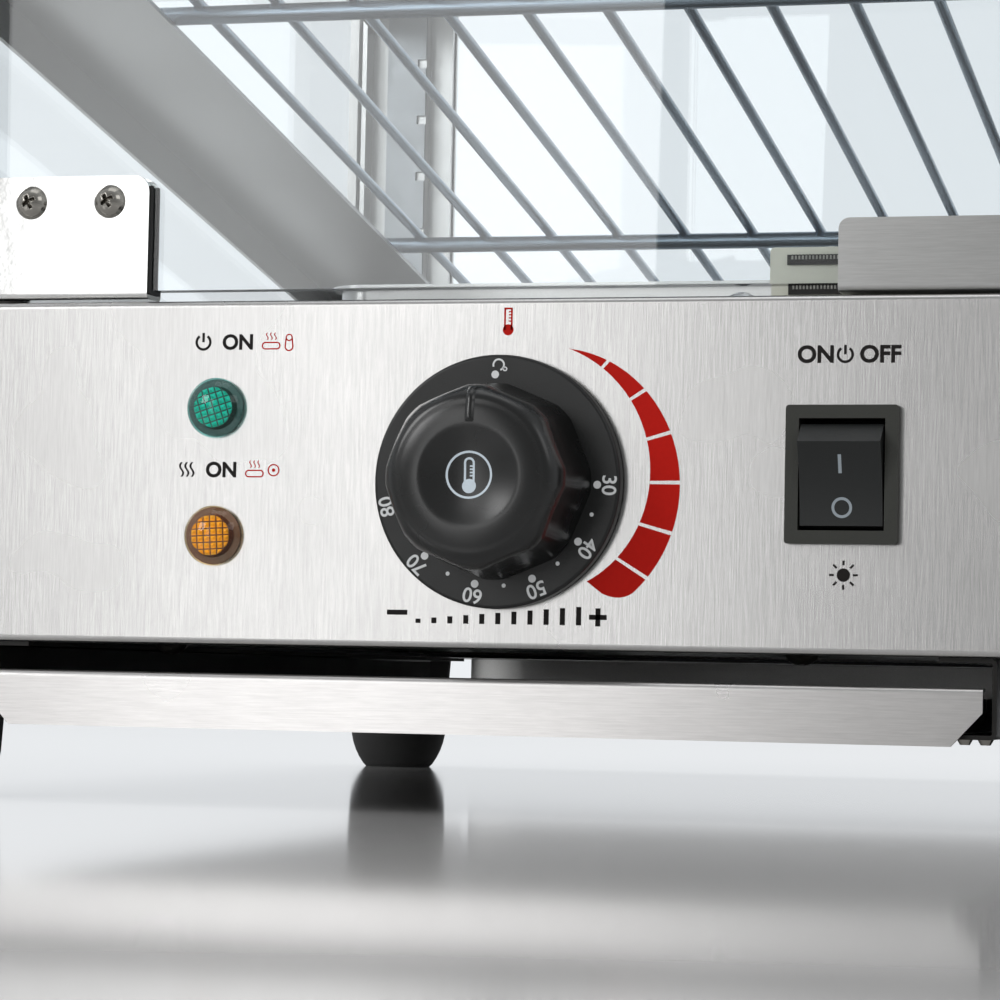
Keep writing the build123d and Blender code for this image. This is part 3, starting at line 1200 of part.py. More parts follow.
# Crumb tray: a shallow pan behind a hemmed front strip
strip_top = BASE_BOTTOM - TRAY_DROP
strip_bottom = strip_top - TRAY_STRIP_HEIGHT
rail_bottom = BASE_BOTTOM - RAIL_DROP
pan_bottom = rail_bottom + SHEET + MOVING_GAP
pan_middle = FACE + SHEET + TRAY_PAN_DEPTH / 2
strip_line = [
    (FACE + TRAY_HEM, strip_top),
    (FACE, strip_top),
    (FACE, strip_bottom),
]
with BuildPart() as crumb_tray:
    add(folded(strip_line, TIGHT_BEND, SHEET, Side.LEFT, -TRAY_HALF_WIDTH, 2 * TRAY_HALF_WIDTH))
    lower_corners = crumb_tray.edges().filter_by(Axis.Y).group_by(Axis.Z)[0]
    chamfer(lower_corners, length=TRAY_CHAMFER_X, length2=TRAY_CHAMFER_Z)
    with BuildSketch(Plane.XY.offset(pan_bottom)):
        with Locations((0, pan_middle)):
            Rectangle(2 * TRAY_PAN_HALF, TRAY_PAN_DEPTH)
    extrude(amount=TRAY_WALL_HEIGHT)
    with BuildSketch(Plane.XY.offset(pan_bottom + SHEET)):
        with Locations((0, pan_middle)):
            Rectangle(2 * (TRAY_PAN_HALF - SHEET), TRAY_PAN_DEPTH - 2 * SHEET)
    extrude(amount=TRAY_WALL_HEIGHT, mode=Mode.SUBTRACT)
finish(crumb_tray, "crumb_tray")

# Rails: C-section sheets under the base, with rivet heads below their front ends
rail_length = TRAY_PAN_DEPTH
with BuildPart() as tray_rails:
    for way in (-1, 1):
        rail_line = [
            (way * (RAIL_LEG - RAIL_SHELF), BASE_BOTTOM),
            (way * (RAIL_LEG + SHEET), BASE_BOTTOM),
            (way * (RAIL_LEG + SHEET), rail_bottom),
            (way * (RAIL_LEG - RAIL_SHELF), rail_bottom),
        ]
        with BuildSketch(Plane.XZ.offset(-FACE - RAIL_SETBACK)):
            with BuildLine():
                FilletPolyline(*rail_line, radius=TIGHT_BEND)
                offset(amount=SHEET, side=Side.RIGHT if way > 0 else Side.LEFT)
            make_face()
        extrude(amount=-rail_length)
finish(tray_rails, "tray_rails")

rivet_y = FACE + RAIL_SETBACK + 2 * RIVET_RADIUS
rivet_align = (Align.CENTER, Align.CENTER, Align.MIN)
with BuildPart() as rail_rivets:
    for way in (-1, 1):
        for step in range(2):
            rivet_x = way * (RAIL_LEG - RIVET_RADIUS - step * RIVET_SPACING)
            with Locations(Location((rivet_x, rivet_y, rail_bottom), (180, 0, 0))):
                Cone(RIVET_RADIUS, RIVET_TIP_RADIUS, RIVET_HEIGHT, align=rivet_align)
finish(rail_rivets, "rail_rivets")

# Cord gland and the terminal block inside it
gland_x = HALF - GLAND_INSET
gland_z = BASE_BOTTOM + GLAND_RISE
gland_inner = REAR - SHEET - GLAND_NUT
with BuildPart() as cord_gland:
    with BuildSketch(upright(0, REAR + GLAND_REACH / 2)):
        with Locations((gland_x, gland_z)):
            RegularPolygon(GLAND_RADIUS, 6)
    extrude(amount=GLAND_REACH / 2)
    with BuildSketch(upright(0, REAR + GLAND_REACH)):
        with Locations((gland_x, gland_z)):
            Circle(GLAND_CAP_RADIUS)
    extrude(amount=GLAND_REACH / 2)
    chamfer(cord_gland.faces().sort_by(Axis.Y)[-1].edges(), length=2 * SHEET)
    with BuildSketch(upright(0, REAR)):
        with Locations((gland_x, gland_z)):
            Circle(GLAND_NECK)
    extrude(amount=SHEET)
    with BuildSketch(upright(0, REAR - SHEET)):
        with Locations((gland_x, gland_z)):
            RegularPolygon(GLAND_RADIUS, 6)
    extrude(amount=GLAND_NUT)
    with BuildSketch(upright(0, REAR + GLAND_REACH)):
        with Locations((gland_x, gland_z)):
            Circle(GLAND_BORE)
    extrude(amount=GLAND_REACH + SHEET + GLAND_NUT, mode=Mode.SUBTRACT)
finish(cord_gland, "cord_gland")

with BuildPart() as terminal_block:
    block_y = gland_inner - TERMINAL_LENGTH
    with BuildSketch(Plane.XY.offset(BASE_BOTTOM + SHEET)):
        with Locations((gland_x, block_y)):
            Rectangle(TERMINAL_LENGTH, TERMINAL_WIDTH)
    extrude(amount=TERMINAL_HEIGHT)
    with BuildSketch(Plane.XY.offset(BASE_BOTTOM + SHEET + TERMINAL_HEIGHT)):
        with Locations((gland_x, block_y)):
            with GridLocations(TERMINAL_LENGTH / 3, TERMINAL_WIDTH / 2, 3, 2):
                Circle(SCREW_RADIUS)
    extrude(amount=-TERMINAL_HEIGHT / 3, mode=Mode.SUBTRACT)
finish(terminal_block, "terminal_block")

# Screws that hold the side walls and the canopy
case_screw_length = 3 * SHEET
with BuildPart() as case_screws:
    for way in (-1, 1):
        for level in (BASE_SCREW_Z, CANOPY_SCREW_Z):
            for y in CASE_SCREW_YS:
                with Locations(Location((way * HALF, y, level), (0, way * 90, 0))):
                    add(headed_screw(DOME_HEAD_RADIUS, DOME_HEAD_HEIGHT, case_screw_length))
finish(case_screws, "case_screws")
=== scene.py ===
"""Heated display case: finishes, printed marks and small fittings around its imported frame."""

import logging
import math
from dataclasses import dataclass
from enum import Enum
from typing import Any

import bmesh
import bpy
from mathutils import Euler, Matrix, Vector
from mathutils.bvhtree import BVHTree


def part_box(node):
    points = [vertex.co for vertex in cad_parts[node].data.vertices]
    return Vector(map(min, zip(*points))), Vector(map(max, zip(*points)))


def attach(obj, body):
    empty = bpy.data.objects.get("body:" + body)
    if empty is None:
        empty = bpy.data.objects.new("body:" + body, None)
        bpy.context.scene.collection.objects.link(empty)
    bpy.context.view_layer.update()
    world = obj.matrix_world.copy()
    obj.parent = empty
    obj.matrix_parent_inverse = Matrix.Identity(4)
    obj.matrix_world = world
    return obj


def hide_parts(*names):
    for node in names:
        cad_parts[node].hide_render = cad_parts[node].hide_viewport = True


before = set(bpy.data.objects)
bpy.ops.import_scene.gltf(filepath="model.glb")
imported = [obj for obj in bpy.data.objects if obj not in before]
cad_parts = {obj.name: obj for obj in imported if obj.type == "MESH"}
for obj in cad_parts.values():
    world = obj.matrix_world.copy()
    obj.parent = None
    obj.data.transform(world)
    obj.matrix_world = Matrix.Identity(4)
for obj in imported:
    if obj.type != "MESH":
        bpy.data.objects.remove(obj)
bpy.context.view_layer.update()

LOG = logging.getLogger("display_case")
MM = 0.001
# Corners that lie closer than this, in metres, are one corner.
MERGE = 1e-6
Spot = tuple[float, float]
Span = tuple[float, float]
Outline = list[Spot]
Tree = bpy.types.NodeTree
Socket = bpy.types.NodeSocket
Node = bpy.types.Node
Material = bpy.types.Material
Mesh = bpy.types.Mesh
Piece = bpy.types.Object
Form = bmesh.types.BMesh
Corner = bmesh.types.BMVert


def linear(colour: str) -> tuple[float, float, float, float]:
    """Turn an sRGB hex colour into linear red, green, blue and a full alpha.

    Args:
        colour: Six hex digits after a hash sign.

    Returns:
        The colour as Blender's sockets take it.
    """
    channels = [int(colour[at:at + 2], 16) / 255 for at in (1, 3, 5)]
    curve = [c / 12.92 if c <= 0.04045 else ((c + 0.055) / 1.055) ** 2.4 for c in channels]
    return (*curve, 1.0)


def add_node(tree: Tree, kind: str, feeds: dict | None = None, **settings: Any) -> Node:
    """Add a node with its settings and what feeds its sockets.

    Args:
        tree: The shader or geometry tree.
        kind: Blender's name for the node type.
        feeds: Socket names or places, each with another node's socket or a plain value.
        settings: The node's own properties.

    Returns:
        The new node.
    """
    made = tree.nodes.new(kind)
    for name, value in settings.items():
        setattr(made, name, value)
    for socket, source in (feeds or {}).items():
        if isinstance(source, Socket):
            tree.links.new(source, made.inputs[socket])
        else:
            made.inputs[socket].default_value = source
    return made


# Most of a noise texture's values lie between these two.
NOISE_SPAN = (0.3, 0.7)


class Grain(Enum):
    """The way that a brushed finish runs."""

    UPRIGHT = "z"
    ACROSS = "x"
    DEEP = "y"


@dataclass(frozen=True)
class Finish:
    """A surface finish: its plain colour, gloss and metal share.

    Args:
        name: The material's name.
        colour: Its sRGB colour.
        roughness: How far it spreads a reflection.
        metallic: One for bare metal.
        gloss: Strength of the clear reflection on what isn't metal; a half is usual.
    """

    name: str
    colour: str
    roughness: float
    metallic: float = 0.0
    gloss: float = 0.5

    def material(self) -> Material:
        """Return the finish as a material, made the first time that it is asked for."""
        known = bpy.data.materials.get(self.name)
        if known:
            return known
        made = bpy.data.materials.new(self.name)
        made.use_nodes = True
        tree = made.node_tree
        tree.nodes.clear()
        settings = {
            "Base Color": linear(self.colour),
            "Metallic": self.metallic,
            "Roughness": self.roughness,
            "Specular IOR Level": self.gloss,
        }
        shader = add_node(tree, "ShaderNodeBsdfPrincipled", settings)
        surface = self.detail(tree, shader)
        add_node(tree, "ShaderNodeOutputMaterial", {"Surface": surface})
        return made

    def detail(self, tree: Tree, shader: Node) -> Socket:
        """Add what the surface shows from near.

        Args:
            tree: The material's tree.
            shader: Its main shader.

        Returns:
            The socket that the output takes.
        """
        return shader.outputs["BSDF"]

    @staticmethod
    def place(tree: Tree, *sizes_mm: float) -> Socket:
        """Return object coordinates, counted in the sizes of a pattern.

        Args:
            tree: The material's tree.
            sizes_mm: The pattern's size along X, Y and Z, or one size for all three.
        """
        each = sizes_mm if len(sizes_mm) == 3 else sizes_mm * 3
        scale = tuple(1 / (size * MM) for size in each)
        where = add_node(tree, "ShaderNodeTexCoord")
        mapped = add_node(tree, "ShaderNodeMapping", {"Vector": where.outputs["Object"], "Scale": scale})
        return mapped.outputs["Vector"]

    def tint(self, tree: Tree, shader: Node, pattern: Socket, shades: Span, span: Span = NOISE_SPAN) -> None:
        """Darken and lighten the plain colour by a pattern.

        Args:
            tree: The material's tree.
            shader: Its main shader.
            pattern: The pattern's value.
            shades: What the colour is multiplied by at the two ends of the span.
            span: The pattern's values at those ends.
        """
        shade = add_node(
            tree,
            "ShaderNodeMapRange",
            {
                "Value": pattern,
                "From Min": span[0],
                "From Max": span[1],
                "To Min": shades[0],
                "To Max": shades[1],
            },
        )
        tinted = add_node(
            tree,
            "ShaderNodeMix",
            {"Factor": 1.0, "A": linear(self.colour), "B": shade.outputs["Result"]},
            data_type="RGBA",
            blend_type="MULTIPLY",
        )
        tree.links.new(tinted.outputs["Result"], shader.inputs["Base Color"])

    def vary_roughness(self, tree: Tree, shader: Node, pattern: Socket, shares: Span) -> None:
        """Vary the roughness by a pattern.

        Args:
            tree: The material's tree.
            shader: Its main shader.
            pattern: The pattern's value.
            shares: The least and the most, as shares of the plain roughness.
        """
        rough = add_node(
            tree,
            "ShaderNodeMapRange",
            {
                "Value": pattern,
                "From Min": NOISE_SPAN[0],
                "From Max": NOISE_SPAN[1],
                "To Min": self.roughness * shares[0],
                "To Max": min(1.0, self.roughness * shares[1]),
            },
        )
        tree.links.new(rough.outputs["Result"], shader.inputs["Roughness"])

    @staticmethod
    def emboss(tree: Tree, shader: Node, pattern: Socket, strength: float, height_mm: float) -> None:
        """Give the surface a pattern's relief.

        Args:
            tree: The material's tree.
            shader: Its main shader.
            pattern: The pattern's value.
            strength: How much of the relief shows.
            height_mm: How high it stands.
        """
        feeds = {"Height": pattern, "Strength": strength, "Distance": height_mm * MM}
        relief = add_node(tree, "ShaderNodeBump", feeds)
        tree.links.new(relief.outputs["Normal"], shader.inputs["Normal"])


@dataclass(frozen=True)
class BrushedSteel(Finish):
    """Stainless sheet brushed one way: fine lines that spread a reflection across them.

    Real lines are under 0.1 mm wide, too fine to show, so they are drawn as coarse as they need to show.

    Args:
        grain: The way that the lines run.
        line_mm: Width of a line.
        streak_mm: Length of a line.
        cloud_mm: Size of the patches that the belt left a little duller.
        depth: Strength of the relief.
        spread: How much wider a reflection is across the lines.
        skew: How far the lines' course is turned from the axis, so that no face looks straight along it.
    """

    grain: Grain = Grain.UPRIGHT
    line_mm: float = 0.32
    streak_mm: float = 7.0
    cloud_mm: float = 45.4545
    depth: float = 0.05
    spread: float = 0.55
    skew: float = 0.04
    metallic: float = 1.0

    def detail(self, tree: Tree, shader: Node) -> Socket:
        """Brush the sheet along its grain.

        Args:
            tree: The material's tree.
            shader: Its main shader.

        Returns:
            The socket that the output takes.
        """
        along = [float(axis == self.grain.value) for axis in "xyz"]
        sizes = [self.streak_mm if share else self.line_mm for share in along]
        lines = add_node(
            tree,
            "ShaderNodeTexNoise",
            {"Vector": self.place(tree, *sizes), "Scale": 1.0, "Detail": 3.0, "Roughness": 0.6},
        )
        cloud = add_node(
            tree,
            "ShaderNodeTexNoise",
            {"Vector": self.place(tree, self.cloud_mm), "Scale": 1.0, "Detail": 2.0},
        )
        self.tint(tree, shader, lines.outputs["Fac"], (0.9, 1.04))
        self.vary_roughness(tree, shader, cloud.outputs["Fac"], (0.92, 1.08))
        self.emboss(tree, shader, lines.outputs["Fac"], self.depth, self.line_mm)
        shader.inputs["Anisotropic"].default_value = self.spread
        tree.links.new(self.across_lines(tree, along), shader.inputs["Tangent"])
        return shader.outputs["BSDF"]

    def across_lines(self, tree: Tree, along: list[float]) -> Socket:
        """Return the direction on the surface that lies across the lines.

        Args:
            tree: The material's tree.
            along: The direction of the lines.
        """
        course = add_node(
            tree,
            "ShaderNodeCombineXYZ",
            {"X": along[0] + self.skew, "Y": along[1] - self.skew, "Z": along[2] + self.skew},
        )
        turned = add_node(
            tree,
            "ShaderNodeVectorTransform",
            {"Vector": course.outputs["Vector"]},
            vector_type="VECTOR",
            convert_from="OBJECT",
            convert_to="WORLD",
        )
        facing = add_node(tree, "ShaderNodeNewGeometry")
        across = add_node(
            tree,
            "ShaderNodeVectorMath",
            {0: turned.outputs["Vector"], 1: facing.outputs["Normal"]},
            operation="CROSS_PRODUCT",
        )
        return across.outputs["Vector"]


@dataclass(frozen=True)
class SpangledZinc(Finish):
    """Hot-dip zinc on sheet steel: dull grey crystals.

    Args:
        crystal_mm: Width of a crystal.
    """

    crystal_mm: float = 6.0
    metallic: float = 0.9

    def detail(self, tree: Tree, shader: Node) -> Socket:
        """Lay the crystals over the sheet.

        Args:
            tree: The material's tree.
            shader: Its main shader.

        Returns:
            The socket that the output takes.
        """
        crystals = add_node(
            tree,
            "ShaderNodeTexVoronoi",
            {"Vector": self.place(tree, self.crystal_mm), "Scale": 1.0, "Randomness": 1.0},
        )
        self.tint(tree, shader, crystals.outputs["Color"], (0.82, 1.1), (0.0, 1.0))
        return shader.outputs["BSDF"]


@dataclass(frozen=True)
class FineGrained(Finish):
    """A moulded, plated, enamelled or drawn surface with an even fine texture.

    Real grains are finer than a picture shows, so they are drawn as coarse as they need to show.

    Args:
        grit_mm: Size of the texture's grains.
        wear_mm: Size of the patches that handling left a little duller or glossier.
        depth: Strength of the relief.
        rise: Height of a grain as a share of its size.
    """

    grit_mm: float = 0.45
    wear_mm: float = 16.6667
    depth: float = 0.12
    rise: float = 0.3

    def detail(self, tree: Tree, shader: Node) -> Socket:
        """Etch the surface.

        Args:
            tree: The material's tree.
            shader: Its main shader.

        Returns:
            The socket that the output takes.
        """
        grit = add_node(
            tree,
            "ShaderNodeTexNoise",
            {"Vector": self.place(tree, self.grit_mm), "Scale": 1.0, "Detail": 2.0},
        )
        wear = add_node(
            tree,
            "ShaderNodeTexNoise",
            {"Vector": self.place(tree, self.wear_mm), "Scale": 1.0, "Detail": 3.0},
        )
        self.vary_roughness(tree, shader, wear.outputs["Fac"], (0.9, 1.12))
        self.emboss(tree, shader, grit.outputs["Fac"], self.depth, self.grit_mm * self.rise)
        return shader.outputs["BSDF"]


@dataclass(frozen=True)
class ClearPane(Finish):
    """Clear glass or plastic: it passes nearly all light, with a faint tint at each face.

    Args:
        index: Its refractive index.
        coat: Strength of the clear reflection on top.
    """

    index: float = 1.5
    coat: float = 0.0

    def detail(self, tree: Tree, shader: Node) -> Socket:
        """Let light through, and let lamps shine through without a dark shadow.

        Args:
            tree: The material's tree.
            shader: Its main shader.

        Returns:
            The socket that the output takes.
        """
        shader.inputs["Transmission Weight"].default_value = 1.0
        shader.inputs["IOR"].default_value = self.index
        shader.inputs["Coat Weight"].default_value = self.coat
        passing = add_node(tree, "ShaderNodeBsdfTransparent", {"Color": linear(self.colour)})
        path = add_node(tree, "ShaderNodeLightPath")
        both = add_node(
            tree,
            "ShaderNodeMixShader",
            {0: path.outputs["Is Shadow Ray"], 1: shader.outputs["BSDF"], 2: passing.outputs["BSDF"]},
        )
        return both.outputs["Shader"]


@dataclass(frozen=True)
class Ink(Finish):
    """Screen-printed ink: matt, with the faint unevenness of a printed film.

    Args:
        film_mm: Size of the unevenness.
    """

    film_mm: float = 1.1111

    def detail(self, tree: Tree, shader: Node) -> Socket:
        """Vary the film a little.

        Args:
            tree: The material's tree.
            shader: Its main shader.

        Returns:
            The socket that the output takes.
        """
        film = add_node(
            tree,
            "ShaderNodeTexNoise",
            {"Vector": self.place(tree, self.film_mm), "Scale": 1.0, "Detail": 2.0},
        )
        self.tint(tree, shader, film.outputs["Fac"], (0.94, 1.0))
        return shader.outputs["BSDF"]


# Belt-brushed stainless, upright: pale and silky, its highlights drawn out sideways.
PANEL_STEEL = BrushedSteel("brushed_stainless_upright", "#C4C3C2", 0.265, spread=0.3)
# Brushed stainless, front to back: duller than the panel, with soft wide highlights.
CASE_STEEL = BrushedSteel("brushed_stainless_case", "#BFBFBE", 0.32, grain=Grain.DEEP)
# Brushed stainless folded into posts: an even grey with a soft upright sheen.
POST_STEEL = BrushedSteel("brushed_stainless_post", "#BDBDBC", 0.30)
# Brushed stainless, left to right: a bright strip whose highlights spread up and down.
TRAY_STEEL = BrushedSteel("brushed_stainless_strip", "#CBC9C8", 0.29, grain=Grain.ACROSS)
# Ferritic stainless, brushed left to right: a magnet holds it, and it looks a shade darker.
STRIKE_STEEL = BrushedSteel("brushed_strike_plate", "#BCBCBB", 0.3, grain=Grain.ACROSS)
# Buffed stainless: nearly a mirror, so it takes the colour of what it faces.
POLISHED = FineGrained("polished_stainless", "#D9D9D8", 0.12, metallic=1.0, grit_mm=3.0, depth=0.02)
# Nickel-plated screw steel: small sharp lamps in a warm grey head.
SCREW_STEEL = FineGrained("plated_screw", "#98958F", 0.16, metallic=1.0, grit_mm=0.8, depth=0.02)
# Bright zinc-plated wire, drawn and welded: bluish grey with a long thin highlight.
WIRE = FineGrained("bright_plated_wire", "#8C99A5", 0.24, metallic=1.0, grit_mm=1.5, depth=0.04)
# Hot-dip galvanised sheet: flat grey with a patchwork of crystals.
ZINC = SpangledZinc("spangled_zinc", "#8F9295", 0.42)
# Chemically blackened steel: dark with a faint metal sheen.
DARK_STEEL = FineGrained("blackened_steel", "#2B2A29", 0.4, metallic=0.8)
# Near black under a hard gloss: painted shade on the bottom plate, which lies in shadow under the base.
UNDERSIDE_SHADE_BLACK = FineGrained("underside_painted_shade", "#070707", 0.25, gloss=0.3, grit_mm=1.2, depth=0.05)
# Brown-black and a little duller: painted shade on the tray's rails and their stop plate, which lie in
# shadow under the base.
RAIL_SHADE_BROWN = FineGrained("rails_painted_shade", "#12100D", 0.35, gloss=0.3, grit_mm=1.0, depth=0.06)
# Tempered float glass: all but colourless, with clear reflections.
GLASS = ClearPane("tempered_glass", "#FBFEFF", 0.0)
# Blown lamp glass: clear, with slightly soft reflections.
LAMP_GLASS = ClearPane("lamp_glass", "#F8F8F4", 0.05)
# Moulded clear vinyl: soft reflections and little bending of light.
SOFT_DOME = ClearPane("clear_vinyl", "#FCFEFE", 0.15, index=1.2)
# Moulded green acrylic: the prisms under it show through a glossy skin.
GREEN_LENS = ClearPane("green_acrylic", "#C2F4F0", 0.0, index=1.12, coat=0.55)
# Moulded amber acrylic: as the green one, in warm yellow.
AMBER_LENS = ClearPane("amber_acrylic", "#FFF0D0", 0.0, index=1.12, coat=0.55)
# Moulded green acrylic prisms: bright facets that sparkle.
GREEN_CORE = FineGrained("green_prisms", "#14CDB4", 0.1, metallic=0.3, gloss=1.0, grit_mm=0.8, depth=0.02)
# Moulded amber acrylic prisms: bright facets that sparkle.
AMBER_CORE = FineGrained("amber_prisms", "#FFBE2C", 0.1, metallic=0.3, gloss=1.0, grit_mm=0.8, depth=0.02)
# The green lens round the prisms: a dark ring of painted shade, where nothing shines behind it.
GREEN_FLOOR_SHADE = FineGrained("green_lens_painted_shade", "#05302A", 0.2, grit_mm=0.8, depth=0.05)
# The amber lens round the prisms: a brown ring of painted shade, where nothing shines behind it.
AMBER_FLOOR_SHADE = FineGrained("amber_lens_painted_shade", "#52280A", 0.2, grit_mm=0.8, depth=0.05)
# Rolled steel, zinc plated, coloured much lighter than the dark bars: a painted highlight on the ribs along
# the bars' top edge.
POLE_RIB_HIGHLIGHT = FineGrained("pole_ribs_painted_highlight", "#8E8D88", 0.3, metallic=1.0, grit_mm=0.8, depth=0.05)
# Moulded black rubber: matt, with a wide faint sheen.
RUBBER = FineGrained("black_rubber", "#101010", 0.62, gloss=0.25, grit_mm=0.6)
# Spark-etched nylon: dark olive grey with a visible grain.
BEZEL_PLASTIC = FineGrained("etched_black_nylon", "#31322E", 0.5, gloss=0.3, grit_mm=0.5, depth=0.3)
# Moulded black nylon: an even soft black.
BLACK_PLASTIC = FineGrained("black_nylon", "#1B1B1B", 0.45)
# Satin-moulded nylon: smoother than the bezel, with a soft reflection.
ROCKER_PLASTIC = FineGrained("satin_black_nylon", "#1B1D1D", 0.36, gloss=0.35, grit_mm=0.3, depth=0.05)
# Satin-moulded phenolic: a fine grain that dulls its reflection.
DIAL_PLASTIC = FineGrained("satin_black_phenolic", "#0F1010", 0.36, gloss=0.42, grit_mm=0.45, depth=0.2)
# Smooth-moulded phenolic: deep black with rounded bright highlights.
GRIP_PLASTIC = FineGrained("smooth_black_phenolic", "#0B0C0C", 0.27, gloss=0.55, grit_mm=0.9, depth=0.02)
# Moulded grey nylon: pale olive and satin.
CATCH_PLASTIC = FineGrained("grey_brown_nylon", "#B9B8AB", 0.42)
# Glazed steatite: cream with a hard gloss.
CERAMIC = FineGrained("glazed_steatite", "#DAD5C8", 0.2, grit_mm=1.2, depth=0.04)
# Nickel alloy sheath after use: grey-brown from the heat, and dull.
SHEATH = FineGrained("heat_darkened_sheath", "#4A4644", 0.45, metallic=0.9)
# Drawn copper: warm red with soft highlights.
COPPER = FineGrained("drawn_copper", "#B87048", 0.3, metallic=1.0, grit_mm=1.0, depth=0.03)
# Turned brass: yellow with clean highlights.
BRASS = FineGrained("turned_brass", "#C9A45C", 0.25, metallic=1.0, grit_mm=0.8, depth=0.03)
# Baked black print: flat, and a touch warm.
BLACK_INK = Ink("black_print", "#1A1716", 0.55, gloss=0.15)
# Baked red print: strong and flat, with almost no sheen.
RED_INK = Ink("red_print", "#B41206", 0.5, gloss=0.1)
# White print on the dial's skirt: flat, and just short of pure white.
WHITE_INK = Ink("white_print", "#DADCDD", 0.6)
# Pale blue-grey print in the dial's dish: softer than the white one.
SIGN_INK = Ink("pale_blue_print", "#C3CFD8", 0.55)
# Blue-grey print on the rocker: dimmer still.
MARK_INK = Ink("blue_grey_print", "#8E979E", 0.6)
# Lacquered white board: pale grey, and glossy enough to mirror the feet.
PALE_FLOOR = Finish("pale_floor", "#C8C8C8", 0.08)


def node_middle(node: str) -> Vector:
    """Return the middle of a node's box, in metres."""
    low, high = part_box(node)
    return (low + high) / 2


def adopt(piece: Piece, body: str, slot: str, *stands_for: str) -> Piece:
    """Hang a piece on its body, and hide the nodes that it stands for.

    Args:
        piece: The finished piece.
        body: The body that it rides on.
        slot: The record's material slot; not used.
        stands_for: Nodes that the piece replaces.

    Returns:
        The same piece.
    """
    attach(piece, body)
    if stands_for:
        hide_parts(*stands_for)
    LOG.info("%s rides on %s", piece.name, body)
    return piece


def mesh_object(name: str, mesh: Mesh, finish: Finish) -> Piece:
    """Link a mesh into the scene as a named object with one finish.

    Args:
        name: The object's name.
        mesh: Its mesh.
        finish: Its finish.

    Returns:
        The object.
    """
    mesh.materials.clear()
    mesh.materials.append(finish.material())
    made = bpy.data.objects.new(name, mesh)
    bpy.context.scene.collection.objects.link(made)
    return made


def dress(finish: Finish, *nodes: str) -> None:
    """Give frame nodes their finish.

    Args:
        finish: The finish.
        nodes: The nodes' names.
    """
    for name in nodes:
        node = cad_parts[name]
        node.data.materials.clear()
        node.data.materials.append(finish.material())
        LOG.info("%s is finished in %s", name, finish.name)


def repeated(name: str, spots: list[Matrix], item: Mesh, finish: Finish, size: float = 1.0) -> Mesh:
    """Lay copies of one mesh at many places with a node tree.

    Args:
        name: What the copies are.
        spots: Where each copy stands and how it is turned.
        item: The mesh that is copied.
        finish: Its finish.
        size: How many metres one unit of the item's mesh is.

    Returns:
        All the copies as one mesh.
    """
    places = bpy.data.meshes.new(name + "_places")
    places.from_pydata([spot.translation for spot in spots], [], [])
    turns = places.attributes.new("turn", "FLOAT_VECTOR", "POINT")
    turns.data.foreach_set("vector", [angle for spot in spots for angle in spot.to_euler()])
    tree = bpy.data.node_groups.new(name, "GeometryNodeTree")
    tree.interface.new_socket("Geometry", in_out="INPUT", socket_type="NodeSocketGeometry")
    item_input = tree.interface.new_socket("Item", in_out="INPUT", socket_type="NodeSocketObject")
    size_input = tree.interface.new_socket("Size", in_out="INPUT", socket_type="NodeSocketFloat")
    tree.interface.new_socket("Geometry", in_out="OUTPUT", socket_type="NodeSocketGeometry")
    entry = add_node(tree, "NodeGroupInput")
    turned = add_node(tree, "GeometryNodeInputNamedAttribute", {"Name": "turn"}, data_type="FLOAT_VECTOR")
    shape = add_node(tree, "GeometryNodeObjectInfo", {"Object": entry.outputs["Item"]})
    laid = add_node(
        tree,
        "GeometryNodeInstanceOnPoints",
        {
            "Points": entry.outputs["Geometry"],
            "Instance": shape.outputs["Geometry"],
            "Rotation": turned.outputs["Attribute"],
            "Scale": entry.outputs["Size"],
        },
    )
    real = add_node(tree, "GeometryNodeRealizeInstances", {"Geometry": laid.outputs["Instances"]})
    coated = add_node(
        tree,
        "GeometryNodeSetMaterial",
        {"Geometry": real.outputs["Geometry"], "Material": finish.material()},
    )
    add_node(tree, "NodeGroupOutput", {"Geometry": coated.outputs["Geometry"]})
    host = bpy.data.objects.new(name + "_host", places)
    model = bpy.data.objects.new(name + "_item", item)
    for made in (host, model):
        bpy.context.scene.collection.objects.link(made)
    modifier = host.modifiers.new("repeat", "NODES")
    modifier.node_group = tree
    modifier[item_input.identifier] = model
    modifier[size_input.identifier] = size
    bpy.context.view_layer.update()
    mesh = bpy.data.meshes.new_from_object(host.evaluated_get(bpy.context.evaluated_depsgraph_get()))
    host.modifiers.remove(modifier)
    bpy.data.objects.remove(host)
    bpy.data.objects.remove(model)
    LOG.info("%s: %d copies", name, len(spots))
    return mesh


def skin(form: Form, rings: list[list[Corner]]) -> None:
    """Join each ring of corners to the next with faces.

    Args:
        form: The form that holds the corners.
        rings: The rings in order; a ring of one corner closes an end.
    """
    for first, second in zip(rings, rings[1:]):
        sides = max(len(first), len(second))
        for side in range(sides):
            after = (side + 1) % sides
            if len(first) == 1:
                form.faces.new([first[0], second[side], second[after]])
            elif len(second) == 1:
                form.faces.new([first[side], second[0], first[after]])
            else:
                form.faces.new([first[side], second[side], second[after], first[after]])


def closed_mesh(name: str, form: Form, crease: float) -> Mesh:
    """Turn a closed form into a smooth mesh with its creases kept.

    Args:
        name: The mesh's name.
        form: The form, which is freed.
        crease: Degrees between two faces from which their edge stays sharp.

    Returns:
        The mesh, its faces pointing outwards.
    """
    bmesh.ops.recalc_face_normals(form, faces=form.faces)
    for face in form.faces:
        face.smooth = True
    mesh = plain_mesh(name, form)
    mesh.set_sharp_from_angle(angle=math.radians(crease))
    return mesh


def plain_mesh(name: str, form: Form) -> Mesh:
    """Turn a form into a mesh.

    Args:
        name: The mesh's name.
        form: The form, which is freed.

    Returns:
        The mesh.
    """
    mesh = bpy.data.meshes.new(name)
    form.to_mesh(mesh)
    form.free()
    return mesh


